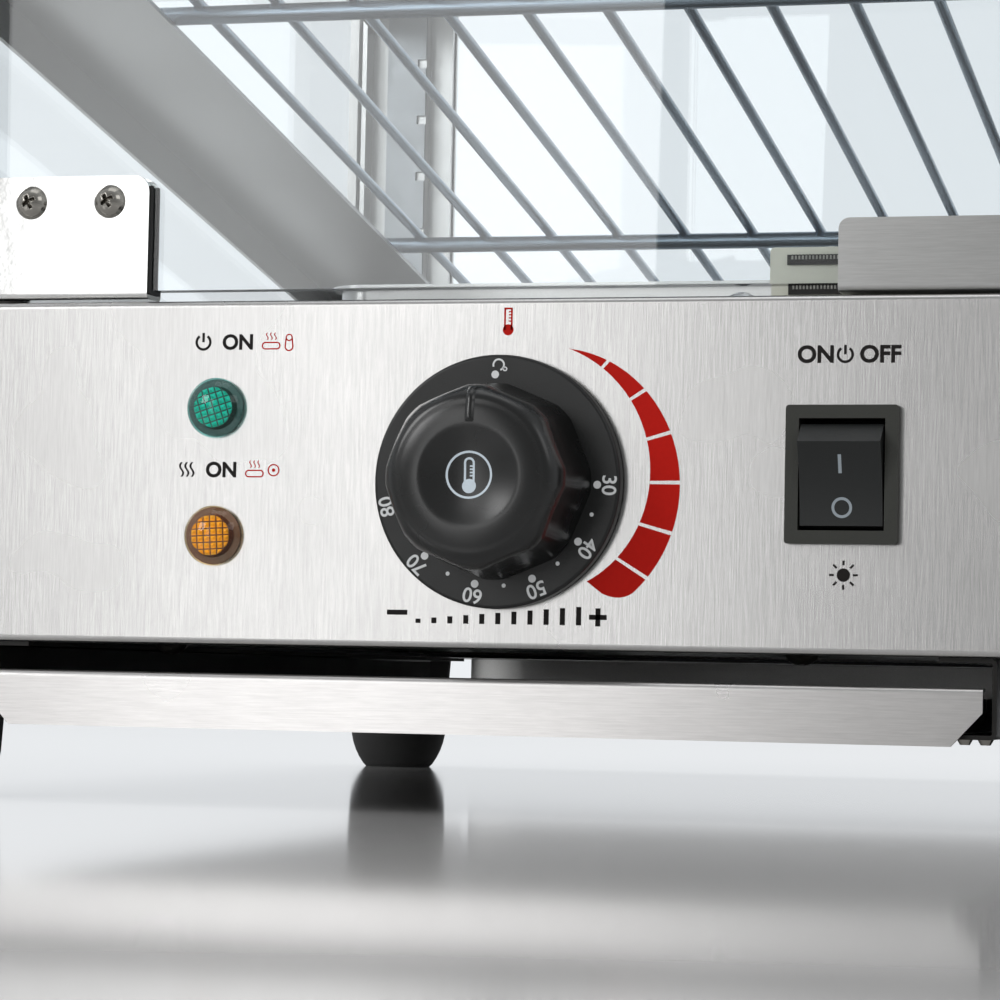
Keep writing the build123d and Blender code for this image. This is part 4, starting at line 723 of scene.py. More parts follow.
def turned_mesh(name: str, profile: Outline, sides: int) -> Mesh:
    """Turn a profile of radius and height, in millimetres, about the Z axis.

    Args:
        name: The mesh's name.
        profile: Its points; a radius of zero closes the end.
        sides: Steps round the axis.

    Returns:
        The mesh, its faces pointing outwards.
    """
    form = bmesh.new()
    rings = []
    for radius, height in profile:
        angles = [2 * math.pi * side / sides for side in range(sides if radius else 1)]
        reach, level = radius * MM, height * MM
        rings.append([form.verts.new((reach * math.cos(a), reach * math.sin(a), level)) for a in angles])
    skin(form, rings)
    return closed_mesh(name, form, crease=35)


def islands(node: str) -> list[list[Vector]]:
    """Take a node apart into its separate solids.

    Args:
        node: The node's name.

    Returns:
        The corners of each solid in world coordinates, the solids in order of place.
    """
    form = bmesh.new()
    form.from_mesh(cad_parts[node].data)
    bmesh.ops.transform(form, matrix=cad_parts[node].matrix_world, verts=form.verts)
    bmesh.ops.remove_doubles(form, verts=form.verts, dist=MERGE)
    left = set(form.verts)
    groups = []
    while left:
        wave = [left.pop()]
        group = []
        while wave:
            vertex = wave.pop()
            group.append(vertex.co.copy())
            for edge in vertex.link_edges:
                other = edge.other_vert(vertex)
                if other in left:
                    left.remove(other)
                    wave.append(other)
        groups.append(group)
    form.free()
    groups.sort(key=lambda group: tuple(round(value, 4) for value in group_middle(group)))
    return groups


def group_box(group: list[Vector]) -> tuple[Vector, Vector]:
    """Return the lowest and the highest corner of the box round some points.

    Args:
        group: The points.
    """
    low = Vector([min(p[k] for p in group) for k in range(3)])
    high = Vector([max(p[k] for p in group) for k in range(3)])
    return low, high


def group_middle(group: list[Vector]) -> Vector:
    """Return the middle of the box round some points."""
    low, high = group_box(group)
    return Vector([(low[k] + high[k]) / 2 for k in range(3)])


@dataclass
class CrossScrews:
    """Cross-recessed screws in place of a node's plain ones.

    Args:
        node: The node of plain screws.
        body: The body that they ride on.
        slot: The record's material slot.
        shank_mm: Radius of the shank.
        brim: Share of the head's radius past which a corner lies on its brim.
        recess_deep: Depth of the recess as a share of the head's height.
        first_turn: How far the first screw's cross is turned, in radians.
        next_turn: How much further each next one is turned, as hand-driven screws are.
    """

    node: str
    body: str
    slot: str = "polished_steel"
    shank_mm: float = 1.9
    brim: float = 0.93
    recess_deep: float = 0.85
    first_turn: float = 0.45
    next_turn: float = 2.4

    def build(self) -> None:
        """Measure the node's screws and lay cross-recessed ones in their places."""
        spots = []
        for number, group in enumerate(islands(self.node)):
            low, high = group_box(group)
            span = high - low
            axis = max(range(3), key=lambda k: min(abs(span[k] - span[j]) for j in range(3) if j != k))
            middle = (low + high) / 2
            radius = span[(axis + 1) % 3] / 2
            rim = [p for p in group if self.off_axis(p - middle, axis) > self.brim * radius]
            level = sum(p[axis] for p in rim) / len(rim)
            way = 1 if high[axis] - level < level - low[axis] else -1
            head = (high[axis] - level) if way > 0 else (level - low[axis])
            shank = span[axis] - head
            middle[axis] = level
            outward = Vector([way * float(k == axis) for k in range(3)])
            cross = Euler((0, 0, self.first_turn + self.next_turn * number)).to_quaternion()
            turn = outward.to_track_quat("Z", "Y") @ cross
            spots.append(Matrix.Translation(middle) @ turn.to_matrix().to_4x4())
        item = self.screw(radius / MM, head / MM, shank / MM)
        mesh = repeated(self.node + "_heads", spots, item, SCREW_STEEL)
        adopt(mesh_object(self.node + "_crossed", mesh, SCREW_STEEL), self.body, self.slot, self.node)

    @staticmethod
    def off_axis(offset: Vector, axis: int) -> float:
        """Return how far an offset lies from an axis through zero."""
        return math.sqrt(sum(offset[k] ** 2 for k in range(3) if k != axis))

    def screw(self, radius: float, head: float, shank: float) -> Mesh:
        """Return one screw with its head on Z = 0: a dome with a cross recess sunk into it.

        Args:
            radius: Radius of the head, in millimetres.
            head: Its height.
            shank: Length of the shank.
        """
        inner_rings, outer_rings = 16, 7
        recess_edge = 0.48
        shares = [recess_edge * step / inner_rings for step in range(inner_rings + 1)]
        for step in range(1, outer_rings + 1):
            shares.append(recess_edge + (1 - recess_edge) * step / outer_rings)
        ball = (radius**2 + head**2) / (2 * head)
        profile = []
        for share in shares:
            reach = radius * share
            profile.append((reach, math.sqrt(ball**2 - reach**2) - ball + head))
        profile[-1] = (radius, 0.0)
        profile += [(self.shank_mm, 0.0), (self.shank_mm, -shank), (0, -shank)]
        mesh = turned_mesh(self.node + "_screw", profile, sides=56)
        deep = head * self.recess_deep * MM
        for vertex in mesh.vertices:
            across, along = vertex.co.x / MM / radius, vertex.co.y / MM / radius
            if vertex.co.z > 0:
                vertex.co.z -= deep * self.recess(across, along)
        return mesh

    @staticmethod
    def recess(across: float, along: float) -> float:
        """Return how deep the recess is at a place on the head, from 0 to 1.

        Args:
            across: The place along one arm, as a share of the head's radius.
            along: The place along the other arm.
        """
        arm, half_arm, core, wall = 0.44, 0.125, 0.18, 0.06
        u, v = abs(across), abs(along)
        bars = min(max(u - half_arm, v - arm), max(v - half_arm, u - arm))
        inside = -min(bars, math.hypot(u, v) - core)
        return max(0.0, min(1.0, inside / wall))


class FrontFace:
    """The front of a piece, as something that film and ridges can be laid on."""

    # Y of a place well in front of the case, in metres.
    ahead = -1.0

    def __init__(self, piece: Piece) -> None:
        """Take up a piece's faces.

        Args:
            piece: The piece.
        """
        corners = [piece.matrix_world @ vertex.co for vertex in piece.data.vertices]
        faces = [tuple(polygon.vertices) for polygon in piece.data.polygons]
        self.tree = BVHTree.FromPolygons(corners, faces)

    def level(self, across: float, up: float, fallback: float) -> float:
        """Return the front's Y at a place, or a fallback where the piece isn't there."""
        hit = self.tree.ray_cast(Vector((across, self.ahead, up)), Vector((0, 1, 0)))[0]
        return hit.y if hit else fallback


@dataclass
class PrintSheet:
    """Flat printed marks in one ink, laid on a face that looks forward.

    Args:
        name: The piece's name.
        origin: Where the marks' own zero lies, on the face.
        ink: The finish.
        lift: How far the film stands proud of the face.
        merge: Corners of one mark that lie closer than this are one corner.
        drape_on: A piece with a curved face that the film is laid down onto.
    """

    name: str
    origin: Vector
    ink: Finish
    lift: float = 0.05 * MM
    merge: float = 1e-7
    drape_on: Piece | None = None

    def __post_init__(self) -> None:
        """Start with no marks."""
        self.shapes = bmesh.new()

    def point(self, across: float, up: float) -> Vector:
        """Return the place of a point given in millimetres across and up."""
        return self.origin + Vector((across * MM, -self.lift, up * MM))

    def polygon(self, outline: Outline) -> None:
        """Print a filled polygon."""
        corners = [self.shapes.verts.new(self.point(*corner)) for corner in outline]
        self.shapes.faces.new(corners)

    def band(self, left: Outline, right: Outline) -> None:
        """Print a strip between two lines of equally many points."""
        for first, second in zip(zip(left, right), zip(left[1:], right[1:])):
            self.polygon([first[0], first[1], second[1], second[0]])

    def ring(
        self, middle: Spot, radius: float, stroke: float, start: float = 0, end: float = 360
    ) -> None:
        """Print a ring or an arc, with its angles clockwise from the top.

        Args:
            middle: Its centre.
            radius: Radius of the middle of its stroke.
            stroke: Width of its stroke.
            start: Angle where it starts.
            end: Angle where it ends.
        """
        x, z = middle
        steps = 48
        angles = [math.radians(start + (end - start) * step / steps) for step in range(steps + 1)]
        edges = []
        for reach in (radius - stroke / 2, radius + stroke / 2):
            edges.append([(x + reach * math.sin(a), z + reach * math.cos(a)) for a in angles])
        self.band(edges[0], edges[1])

    def dot(self, middle: Spot, radius: float) -> None:
        """Print a filled dot.

        Args:
            middle: Its centre.
            radius: Its radius.
        """
        sides = 32
        turns = [2 * math.pi * side / sides for side in range(sides)]
        self.polygon([(middle[0] + radius * math.cos(t), middle[1] + radius * math.sin(t)) for t in turns])

    def bar(self, middle: Spot, width: float, height: float, turn: float = 0.0) -> None:
        """Print a bar.

        Args:
            middle: Its centre.
            width: Its width before it is turned.
            height: Its height before it is turned.
            turn: Degrees clockwise.
        """
        angle = math.radians(turn)
        corners = []
        for x, y in ((-1, -1), (1, -1), (1, 1), (-1, 1)):
            across, up = x * width / 2, y * height / 2
            corners.append((
                middle[0] + across * math.cos(angle) + up * math.sin(angle),
                middle[1] - across * math.sin(angle) + up * math.cos(angle),
            ))
        self.polygon(corners)

    def text(
        self, words: str, middle: Spot, height: float, turn: float = 0.0, weight: float = 0.0
    ) -> None:
        """Print plain letters or digits.

        Args:
            words: What it says.
            middle: Its centre.
            height: Height of a capital.
            turn: Degrees clockwise.
            weight: How far the strokes are thickened, as a share of the height.
        """
        capital = 0.7
        curve = bpy.data.curves.new(self.name + "_letters", "FONT")
        curve.body = words
        curve.size = height / capital
        curve.align_x = "CENTER"
        curve.align_y = "CENTER"
        curve.offset = weight * height
        curve.resolution_u = 4
        letters = bpy.data.objects.new(self.name + "_letters", curve)
        bpy.context.scene.collection.objects.link(letters)
        bpy.context.view_layer.update()
        mesh = bpy.data.meshes.new_from_object(letters.evaluated_get(bpy.context.evaluated_depsgraph_get()))
        bpy.data.objects.remove(letters)
        angle = math.radians(turn)
        rise = (min(v.co.y for v in mesh.vertices) + max(v.co.y for v in mesh.vertices)) / 2
        for vertex in mesh.vertices:
            across, up = vertex.co.x, vertex.co.y - rise
            vertex.co = self.point(
                middle[0] + across * math.cos(angle) + up * math.sin(angle),
                middle[1] - across * math.sin(angle) + up * math.cos(angle),
            )
        self.shapes.from_mesh(mesh)
        bpy.data.meshes.remove(mesh)

    def finish(self, body: str, slot: str) -> Piece:
        """Turn the marks into one piece that faces forward and rides on a body.

        Args:
            body: The body.
            slot: The record's material slot.

        Returns:
            The piece.
        """
        bmesh.ops.remove_doubles(self.shapes, verts=self.shapes.verts, dist=self.merge)
        if self.drape_on:
            self.drape()
        for face in self.shapes.faces:
            face.normal_update()
            if face.normal.y > 0:
                face.normal_flip()
        return adopt(mesh_object(self.name, plain_mesh(self.name, self.shapes), self.ink), body, slot)

    def drape(self) -> None:
        """Lay the film down onto the curved face."""
        longest = 0.7 * MM
        halvings = 3
        for _ in range(halvings):
            edges = [edge for edge in self.shapes.edges if edge.calc_length() > longest]
            bmesh.ops.subdivide_edges(self.shapes, edges=edges, cuts=1, use_grid_fill=True)
        face = FrontFace(self.drape_on)
        for vertex in self.shapes.verts:
            vertex.co.y = face.level(vertex.co.x, vertex.co.z, vertex.co.y) - self.lift


def thermometer(sheet: PrintSheet, middle: Spot, height: float, stroke: float, domed: bool = False) -> None:
    """Print a plain thermometer sign: a tube with ticks inside it, over a filled bulb.

    Args:
        sheet: The sheet that takes it.
        middle: Its centre.
        height: Its whole height.
        stroke: Width of its line.
        domed: Whether its top is round.
    """
    x, z = middle
    bulb = height * 0.2
    tube = height * 0.125
    low = z - height / 2 + bulb
    high = z + height / 2 - stroke / 2
    sheet.dot((x, low), bulb)
    if domed:
        high -= tube
        sheet.ring((x, high), tube, stroke, -90, 90)
    else:
        sheet.bar((x, high), 2 * tube + stroke, stroke)
    for side in (-1, 1):
        sheet.bar((x + side * tube, (low + high) / 2), stroke, high - low)
    ticks = 4
    tick_long, tick_wide = tube * 0.7, stroke * 0.7
    for tick in range(ticks):
        level = high - (tick + 1) * (high - low - bulb) / (ticks + 1)
        sheet.bar((x + tube * 0.45, level), tick_long, tick_wide)


@dataclass
class ControlPanel:
    """The printed marks on the panel, placed from the dial, the lamps and the switch.

    Args:
        crescent_parts: Segments of the crescent beside the dial.
        crescent_start: Degrees clockwise from the top where it starts.
        crescent_pace: Degrees from one segment to the next.
        crescent_gap: Degrees between two segments.
        bold: How far the letters' strokes are thickened, as a share of their height.
        body: The body that the marks ride on.
        slot: The record's material slot.
    """

    crescent_parts: int = 7
    crescent_start: float = 26.4
    crescent_pace: float = 16.0
    crescent_gap: float = 1.2
    bold: float = 0.05
    body: str = "cabinet"
    slot: str = "panel_steel"

    def build(self) -> None:
        """Dress the panel and print its marks."""
        dress(PANEL_STEEL, "control_panel")
        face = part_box("control_panel")[0].y
        dial = node_middle("dial_skirt")
        zero = Vector((dial.x, face, dial.z))
        red = PrintSheet("panel_marks_red", zero, RED_INK)
        black = PrintSheet("panel_marks_black", zero, BLACK_INK)
        self.crescent(red)
        thermometer(red, (1.1, 36.9), height=6.4, stroke=0.42)
        self.dial_signs(black)
        self.lamp_signs(black, red, zero)
        self.switch_signs(black, zero)
        red.finish(self.body, self.slot)
        black.finish(self.body, self.slot)

    @staticmethod
    def crescent_edges(angle: float) -> Span:
        """Return the crescent's inner and outer radius, as two bows that peak apart.

        Args:
            angle: Degrees clockwise from the top.
        """
        inner_peak, inner_top, inner_bow = 35.6, 64, 0.00095
        outer_peak, outer_top, outer_bow = 42.0, 95, 0.00167
        inside = inner_peak - inner_bow * (angle - inner_top) ** 2
        return inside, max(inside, outer_peak - outer_bow * (angle - outer_top) ** 2)

    def crescent(self, red: PrintSheet) -> None:
        """Print the crescent of growing segments that runs round the dial from its top right.

        Args:
            red: The sheet of red marks.
        """
        steps = 12
        last_part = self.crescent_parts - 1
        rounding_start = 0.35
        for part in range(self.crescent_parts):
            first = self.crescent_start + part * self.crescent_pace
            last = first + self.crescent_pace - self.crescent_gap
            inner, outer = [], []
            for step in range(steps + 1):
                share = step / steps
                angle = first + (last - first) * share
                inside, outside = self.crescent_edges(angle)
                if part == last_part:
                    rounding = max(0.0, (share - rounding_start) / (1 - rounding_start))
                    outside = inside + (outside - inside) * math.sqrt(max(0.0, 1 - rounding**2))
                turn = math.radians(angle)
                inner.append((inside * math.sin(turn), inside * math.cos(turn)))
                outer.append((outside * math.sin(turn), outside * math.cos(turn)))
            red.band(inner, outer)

    def dial_signs(self, black: PrintSheet) -> None:
        """Print the minus, the rising bars and the plus under the dial.

        Args:
            black: The sheet of black marks.
        """
        minus, plus = (-24.05, -30.0), (23.5, -30.5)
        stroke, minus_long, plus_long = 1.15, 4.9, 4.1
        black.bar(minus, minus_long, stroke)
        black.bar(plus, plus_long, stroke)
        black.bar(plus, stroke, plus_long)
        bars, pace, width, foot = 11, 3.8, 1.2, -32.4
        lowest, growth = 1.0, 3.2
        for step in range(bars):
            height = lowest + growth * step / (bars - 1)
            across = pace * (step - (bars - 1) / 2)
            black.bar((across, foot + height / 2), width, height)

    def lamp_signs(self, black: PrintSheet, red: PrintSheet, zero: Vector) -> None:
        """Print ON over each lamp, a power ring or heat waves left of it, and red signs right of it.

        Args:
            black: The sheet of black marks.
            red: The sheet of red marks.
            zero: The sheets' own zero.
        """
        above, letters = 15.5, 3.4
        left, dish_right, bulb_right, ring_right = 8.6, 8.2, 12.6, 12.9
        low = 0.1
        wave_pace, wave_stroke = 1.3, 0.5
        for node, shift in (("lamp_lens_upper", 4.8), ("lamp_lens_lower", 1.4)):
            lamp = (node_middle(node) - zero) / MM
            x, z = lamp.x + shift, lamp.z + above
            black.text("ON", (x, z), letters, weight=self.bold)
            self.steam(red, (x + dish_right, z + low))
            if node == "lamp_lens_upper":
                self.power_ring(black, (x - left, z), 1.7)
                self.bulb(red, (x + bulb_right, z - low))
                continue
            for line in (-1, 0, 1):
                self.wave(black, (x - left + wave_pace * line, z), letters, wave_stroke)
            red.ring((x + ring_right, z - low), radius=1.3, stroke=0.3)
            red.dot((x + ring_right, z - low), radius=0.42)

    @staticmethod
    def power_ring(black: PrintSheet, middle: Spot, radius: float) -> None:
        """Print the plain power sign: a ring open at the top, with a bar.

        Args:
            black: The sheet of black marks.
            middle: The ring's centre.
            radius: Its radius.
        """
        x, z = middle
        half_gap = 35
        stroke, bar_centre, bar_long = radius * 0.36, radius * 0.65, radius * 1.3
        black.ring(middle, radius, stroke, half_gap, 360 - half_gap)
        black.bar((x, z + bar_centre), stroke, bar_long)

    @staticmethod
    def wave(sheet: PrintSheet, middle: Spot, height: float, stroke: float) -> None:
        """Print one rising wavy line.

        Args:
            sheet: The sheet that takes it.
            middle: Its centre.
            height: Its height.
            stroke: Its width.
        """
        x, z = middle
        steps = 14
        sway = height * 0.12
        left, right = [], []
        for step in range(steps + 1):
            up = z + height * (step / steps - 0.5)
            across = x + sway * math.sin(2 * math.pi * step / steps)
            left.append((across - stroke / 2, up))
            right.append((across + stroke / 2, up))
        sheet.band(left, right)

    @staticmethod
    def bulb(red: PrintSheet, middle: Spot) -> None:
        """Print a plain lamp sign: a small ring over an upright capsule.

        Args:
            red: The sheet of red marks.
            middle: The sign's centre.
        """
        x, z = middle
        stroke, half, tall, lean = 0.32, 0.84, 2.0, 6
        red.ring((x, z + 1.1), radius=0.72, stroke=0.3)
        red.ring((x, z - 1.0), radius=0.95, stroke=stroke, start=90, end=270)
        for side in (-1, 1):
            red.bar((x + side * half, z), stroke, tall, -side * lean)

    def steam(self, red: PrintSheet, middle: Spot) -> None:
        """Print three short waves over an outlined dish.

        Args:
            red: The sheet of red marks.
            middle: The sign's centre.
        """
        x, z = middle
        pace, above, tall, thin = 1.0, 1.2, 1.7, 0.26
        for line in (-1, 0, 1):
            self.wave(red, (x + line * pace, z + above), tall, thin)
        low = z - 1.0
        half, rise, stroke = 1.4, 0.75, 0.32
        for side, start in ((-1, 180), (1, 0)):
            red.bar((x, low + side * rise), 2 * half, stroke)
            red.ring((x + side * half, low), rise, stroke, start, start + 180)

    def switch_signs(self, black: PrintSheet, zero: Vector) -> None:
        """Print ON, a power ring and OFF over the switch, and a lamp sign under it.

        Args:
            black: The sheet of black marks.
            zero: The sheet's own zero.
        """
        low, high = ((corner - zero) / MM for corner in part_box("switch_housing"))
        middle = (low.x + high.x) / 2
        above, letters = high.z + 11.5, 3.7
        black.text("ON", (middle - 6.5, above), letters, weight=self.bold)
        black.text("OFF", (middle + 8.0, above), letters, weight=self.bold)
        self.power_ring(black, (middle + 0.1, above - 0.1), 1.65)
        x, z = middle + 0.4, low.z - 6.8
        black.dot((x, z), radius=1.5)
        rays, reach, thin, long = 8, 2.7, 0.5, 1.1
        for ray in range(rays):
            turn = 360 * ray / rays
            angle = math.radians(turn)
            black.bar((x + reach * math.sin(angle), z + reach * math.cos(angle)), thin, long, turn)


@dataclass
class TemperatureDial:
    """The dial: the scale on its skirt, its crowned grip with a pointer, and the sign in its dish.

    Args:
        dot_reach: How far the dots lie from the middle.
        digit_reach: How far the numbers lie from it.
        digit_height: Height of a number.
        first_angle: Degrees clockwise from the top to the first number.
        pace: Degrees from one number to the next.
        unit_angle: Degrees from the top to the unit's dot.
        ridge_mm: How far the pointer's ridge stands proud.
        flutes: Flutes round the grip.
        flute_mm: How deep a flute is.
        flute_steps: Faces across a flute and its ridge.
        dish_mm: Radius of the dish in the grip's front.
        dish_deep_mm: Its depth.
        crown_mm: Radius where the crown round the dish ends.
        crown_drop_mm: How far it has dropped there.
        shoulder_drop_mm: How far the shoulder has dropped where the side starts.
        taper_mm: How much wider the side is at its foot.
        body: The body that the dial is.
        slot: The record's material slot.
    """

    dot_reach: float = 23.8
    digit_reach: float = 26.6
    digit_height: float = 3.3
    first_angle: float = 91.6
    pace: float = 33.1
    unit_angle: float = -1.5
    ridge_mm: float = 0.6
    flutes: int = 8
    flute_mm: float = 0.85
    flute_steps: int = 24
    dish_mm: float = 11.6
    dish_deep_mm: float = 1.9
    crown_mm: float = 16.4
    crown_drop_mm: float = 0.7
    shoulder_drop_mm: float = 7.0
    taper_mm: float = 1.5
    body: str = "dial"
    slot: str = "dial_plastic"

    def build(self) -> None:
        """Dress the dial, print its scale, and add the grip, its sign and its pointer."""
        dress(DIAL_PLASTIC, "dial_skirt")
        dress(BRASS, "dial_spindle")
        low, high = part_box("dial_skirt")
        middle = (low + high) / 2
        zero = Vector((middle.x, low.y, middle.z))
        self.scale(zero)
        grip = self.grip(zero)
        sign = PrintSheet("dial_sign", zero, SIGN_INK, drape_on=grip)
        sign.ring((-0.2, 0.2), radius=5.1, stroke=0.5)
        thermometer(sign, (-0.2, 0.1), height=8.0, stroke=0.5, domed=True)
        sign.finish(self.body, self.slot)
        self.pointer(grip, zero)

    def scale(self, zero: Vector) -> None:
        """Print the numbers, their dots and the unit.

        Args:
            zero: Where the dial's axis meets the front of the skirt.
        """
        scale = PrintSheet("dial_scale", zero, WHITE_INK)
        large_dot, small_dot = 0.9, 0.48
        lowest, step_up, numbers = 30, 10, 6
        for step in range(numbers):
            angle = self.first_angle + self.pace * step
            digits = str(lowest + step_up * step)
            scale.text(digits, self.spot(angle, self.digit_reach), self.digit_height, angle, 0.02)
            scale.dot(self.spot(angle, self.dot_reach), large_dot)
            if step < numbers - 1:
                scale.dot(self.spot(angle + self.pace / 2, self.dot_reach), small_dot)
        scale.dot(self.spot(self.unit_angle, self.dot_reach + 0.6), large_dot)
        letter = self.spot(self.unit_angle + 1.8, self.digit_reach)
        scale.ring(letter, radius=1.25, stroke=0.42, start=-110, end=160)
        degree = self.spot(self.unit_angle + 5.2, self.digit_reach - 0.9)
        scale.ring(degree, radius=0.4, stroke=0.28)
        scale.finish(self.body, self.slot)

    def grip_profile(self, radius: float, tall: float) -> list[tuple[float, float, float]]:
        """Return the grip's profile from its dish to its foot, in millimetres.

        Args:
            radius: Radius of its foot.
            tall: Its height.

        Returns:
            Each point's radius, its height and the share of a flute's depth there.
        """
        dish_steps, crown_steps, shoulder_steps, side_steps = 16, 8, 14, 8
        dish_bow, fade = 1.15, 3
        profile = []
        for step in range(dish_steps + 1):
            share = step / dish_steps
            level = tall - self.dish_deep_mm * (1 - share**2) ** dish_bow
            profile.append((self.dish_mm * share, level, 0.0))
        for step in range(1, crown_steps + 1):
            share = step / crown_steps
            reach = self.dish_mm + (self.crown_mm - self.dish_mm) * share
            profile.append((reach, tall - self.crown_drop_mm * share**2, 0.0))
        waist = radius - self.taper_mm
        for step in range(1, shoulder_steps + 1):
            turn = math.pi / 2 * step / shoulder_steps
            reach = self.crown_mm + (waist - self.crown_mm) * math.sin(turn)
            drop = self.crown_drop_mm + (self.shoulder_drop_mm - self.crown_drop_mm) * (1 - math.cos(turn))
            profile.append((reach, tall - drop, math.sin(turn) ** fade))
        for step in range(1, side_steps + 1):
            share = step / side_steps
            level = (tall - self.shoulder_drop_mm) * (1 - share)
            profile.append((waist + (radius - waist) * share, level, 1.0))
        return profile

    def grip(self, zero: Vector) -> Piece:
        """Model the grip: a dished, softly crowned cap whose fluted side fades out at the shoulder.

        Args:
            zero: Where the dial's axis meets the front of the skirt.

        Returns:
            The grip.
        """
        low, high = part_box("dial_grip")
        radius = (high.x - low.x) / 2 / MM
        tall = (zero.y - low.y) / MM - self.ridge_mm
        sides = self.flute_steps * self.flutes
        form = bmesh.new()
        rings = []
        for reach, level, depth in self.grip_profile(radius, tall):
            ring = []
            for side in range(sides if reach else 1):
                angle = 2 * math.pi * side / sides
                cut = reach - self.flute_mm * depth * self.scallop(side / self.flute_steps % 1)
                spot = Vector((cut * math.sin(angle), -level, cut * math.cos(angle)))
                ring.append(form.verts.new(zero + spot * MM))
            rings.append(ring)
        rings.append([form.verts.new(zero)])
        skin(form, rings)
        mesh = closed_mesh("dial_grip_crowned", form, crease=28)
        made = mesh_object("dial_grip_crowned", mesh, GRIP_PLASTIC)
        return adopt(made, self.body, self.slot, "dial_grip")

    @staticmethod
    def scallop(share: float) -> float:
        """Return how deep a flute is, from 0 on a ridge to 1 at the flute's middle.

        Args:
            share: The place across one flute and its ridge, from 0 to 1.
        """
        flute_share = 0.74
        offset = abs(share - 0.5) * 2 / flute_share
        return 1 - offset**2 if offset < 1 else 0.0

    def pointer(self, grip: Piece, zero: Vector) -> None:
        """Raise the pointer's ridge from the dish to the grip's shoulder.

        Args:
            grip: The grip that it stands on.
            zero: Where the dial's axis meets the front of the skirt.
        """
        face = FrontFace(grip)
        start, end, width = 11.9, 19.9, 2.1
        rows, columns, rise_rows = 24, 8, 2
        form = bmesh.new()
        grid = []
        for row in range(rows + 1):
            line = []
            for column in range(columns + 1):
                share = column / columns - 0.5
                x = zero.x + share * width * MM
                z = zero.z + (start + (end - start) * row / rows) * MM
                crest = self.ridge_mm * (1 - (2 * share) ** 2) * min(1.0, row / rise_rows)
                line.append(form.verts.new((x, face.level(x, z, zero.y) - crest * MM, z)))
            grid.append(line)
        for first, second in zip(grid, grid[1:]):
            for column in range(columns):
                form.faces.new([first[column], first[column + 1], second[column + 1], second[column]])
        form.normal_update()
        for piece in form.faces:
            piece.smooth = True
            if piece.normal.y > 0:
                piece.normal_flip()
        mesh = plain_mesh("dial_pointer_ridge", form)
        adopt(mesh_object("dial_pointer_ridge", mesh, GRIP_PLASTIC), self.body, self.slot)

    @staticmethod
    def spot(angle: float, reach: float) -> Spot:
        """Return a place on the skirt, its angle clockwise from the top."""
        turn = math.radians(angle)
        return reach * math.sin(turn), reach * math.cos(turn)


@dataclass
class Rocker:
    """The marks on the rocker: a bar for on and a ring for off.

    Args:
        body: The body that the rocker is.
        slot: The record's material slot.
    """

    body: str = "rocker"
    slot: str = "rocker_plastic"

    def build(self) -> None:
        """Dress the switch and print the marks on the rocker's curved face."""
        dress(BEZEL_PLASTIC, "switch_housing")
        dress(ROCKER_PLASTIC, "switch_rocker")
        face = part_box("switch_rocker")[0].y
        middle = node_middle("switch_housing")
        zero = Vector((middle.x, face, middle.z))
        marks = PrintSheet("rocker_marks", zero, MARK_INK, drape_on=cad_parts["switch_rocker"])
        marks.bar((0.0, 2.2), width=0.75, height=4.1)
        marks.ring((0.2, -7.4), radius=2.0, stroke=0.62)
        marks.finish(self.body, self.slot)


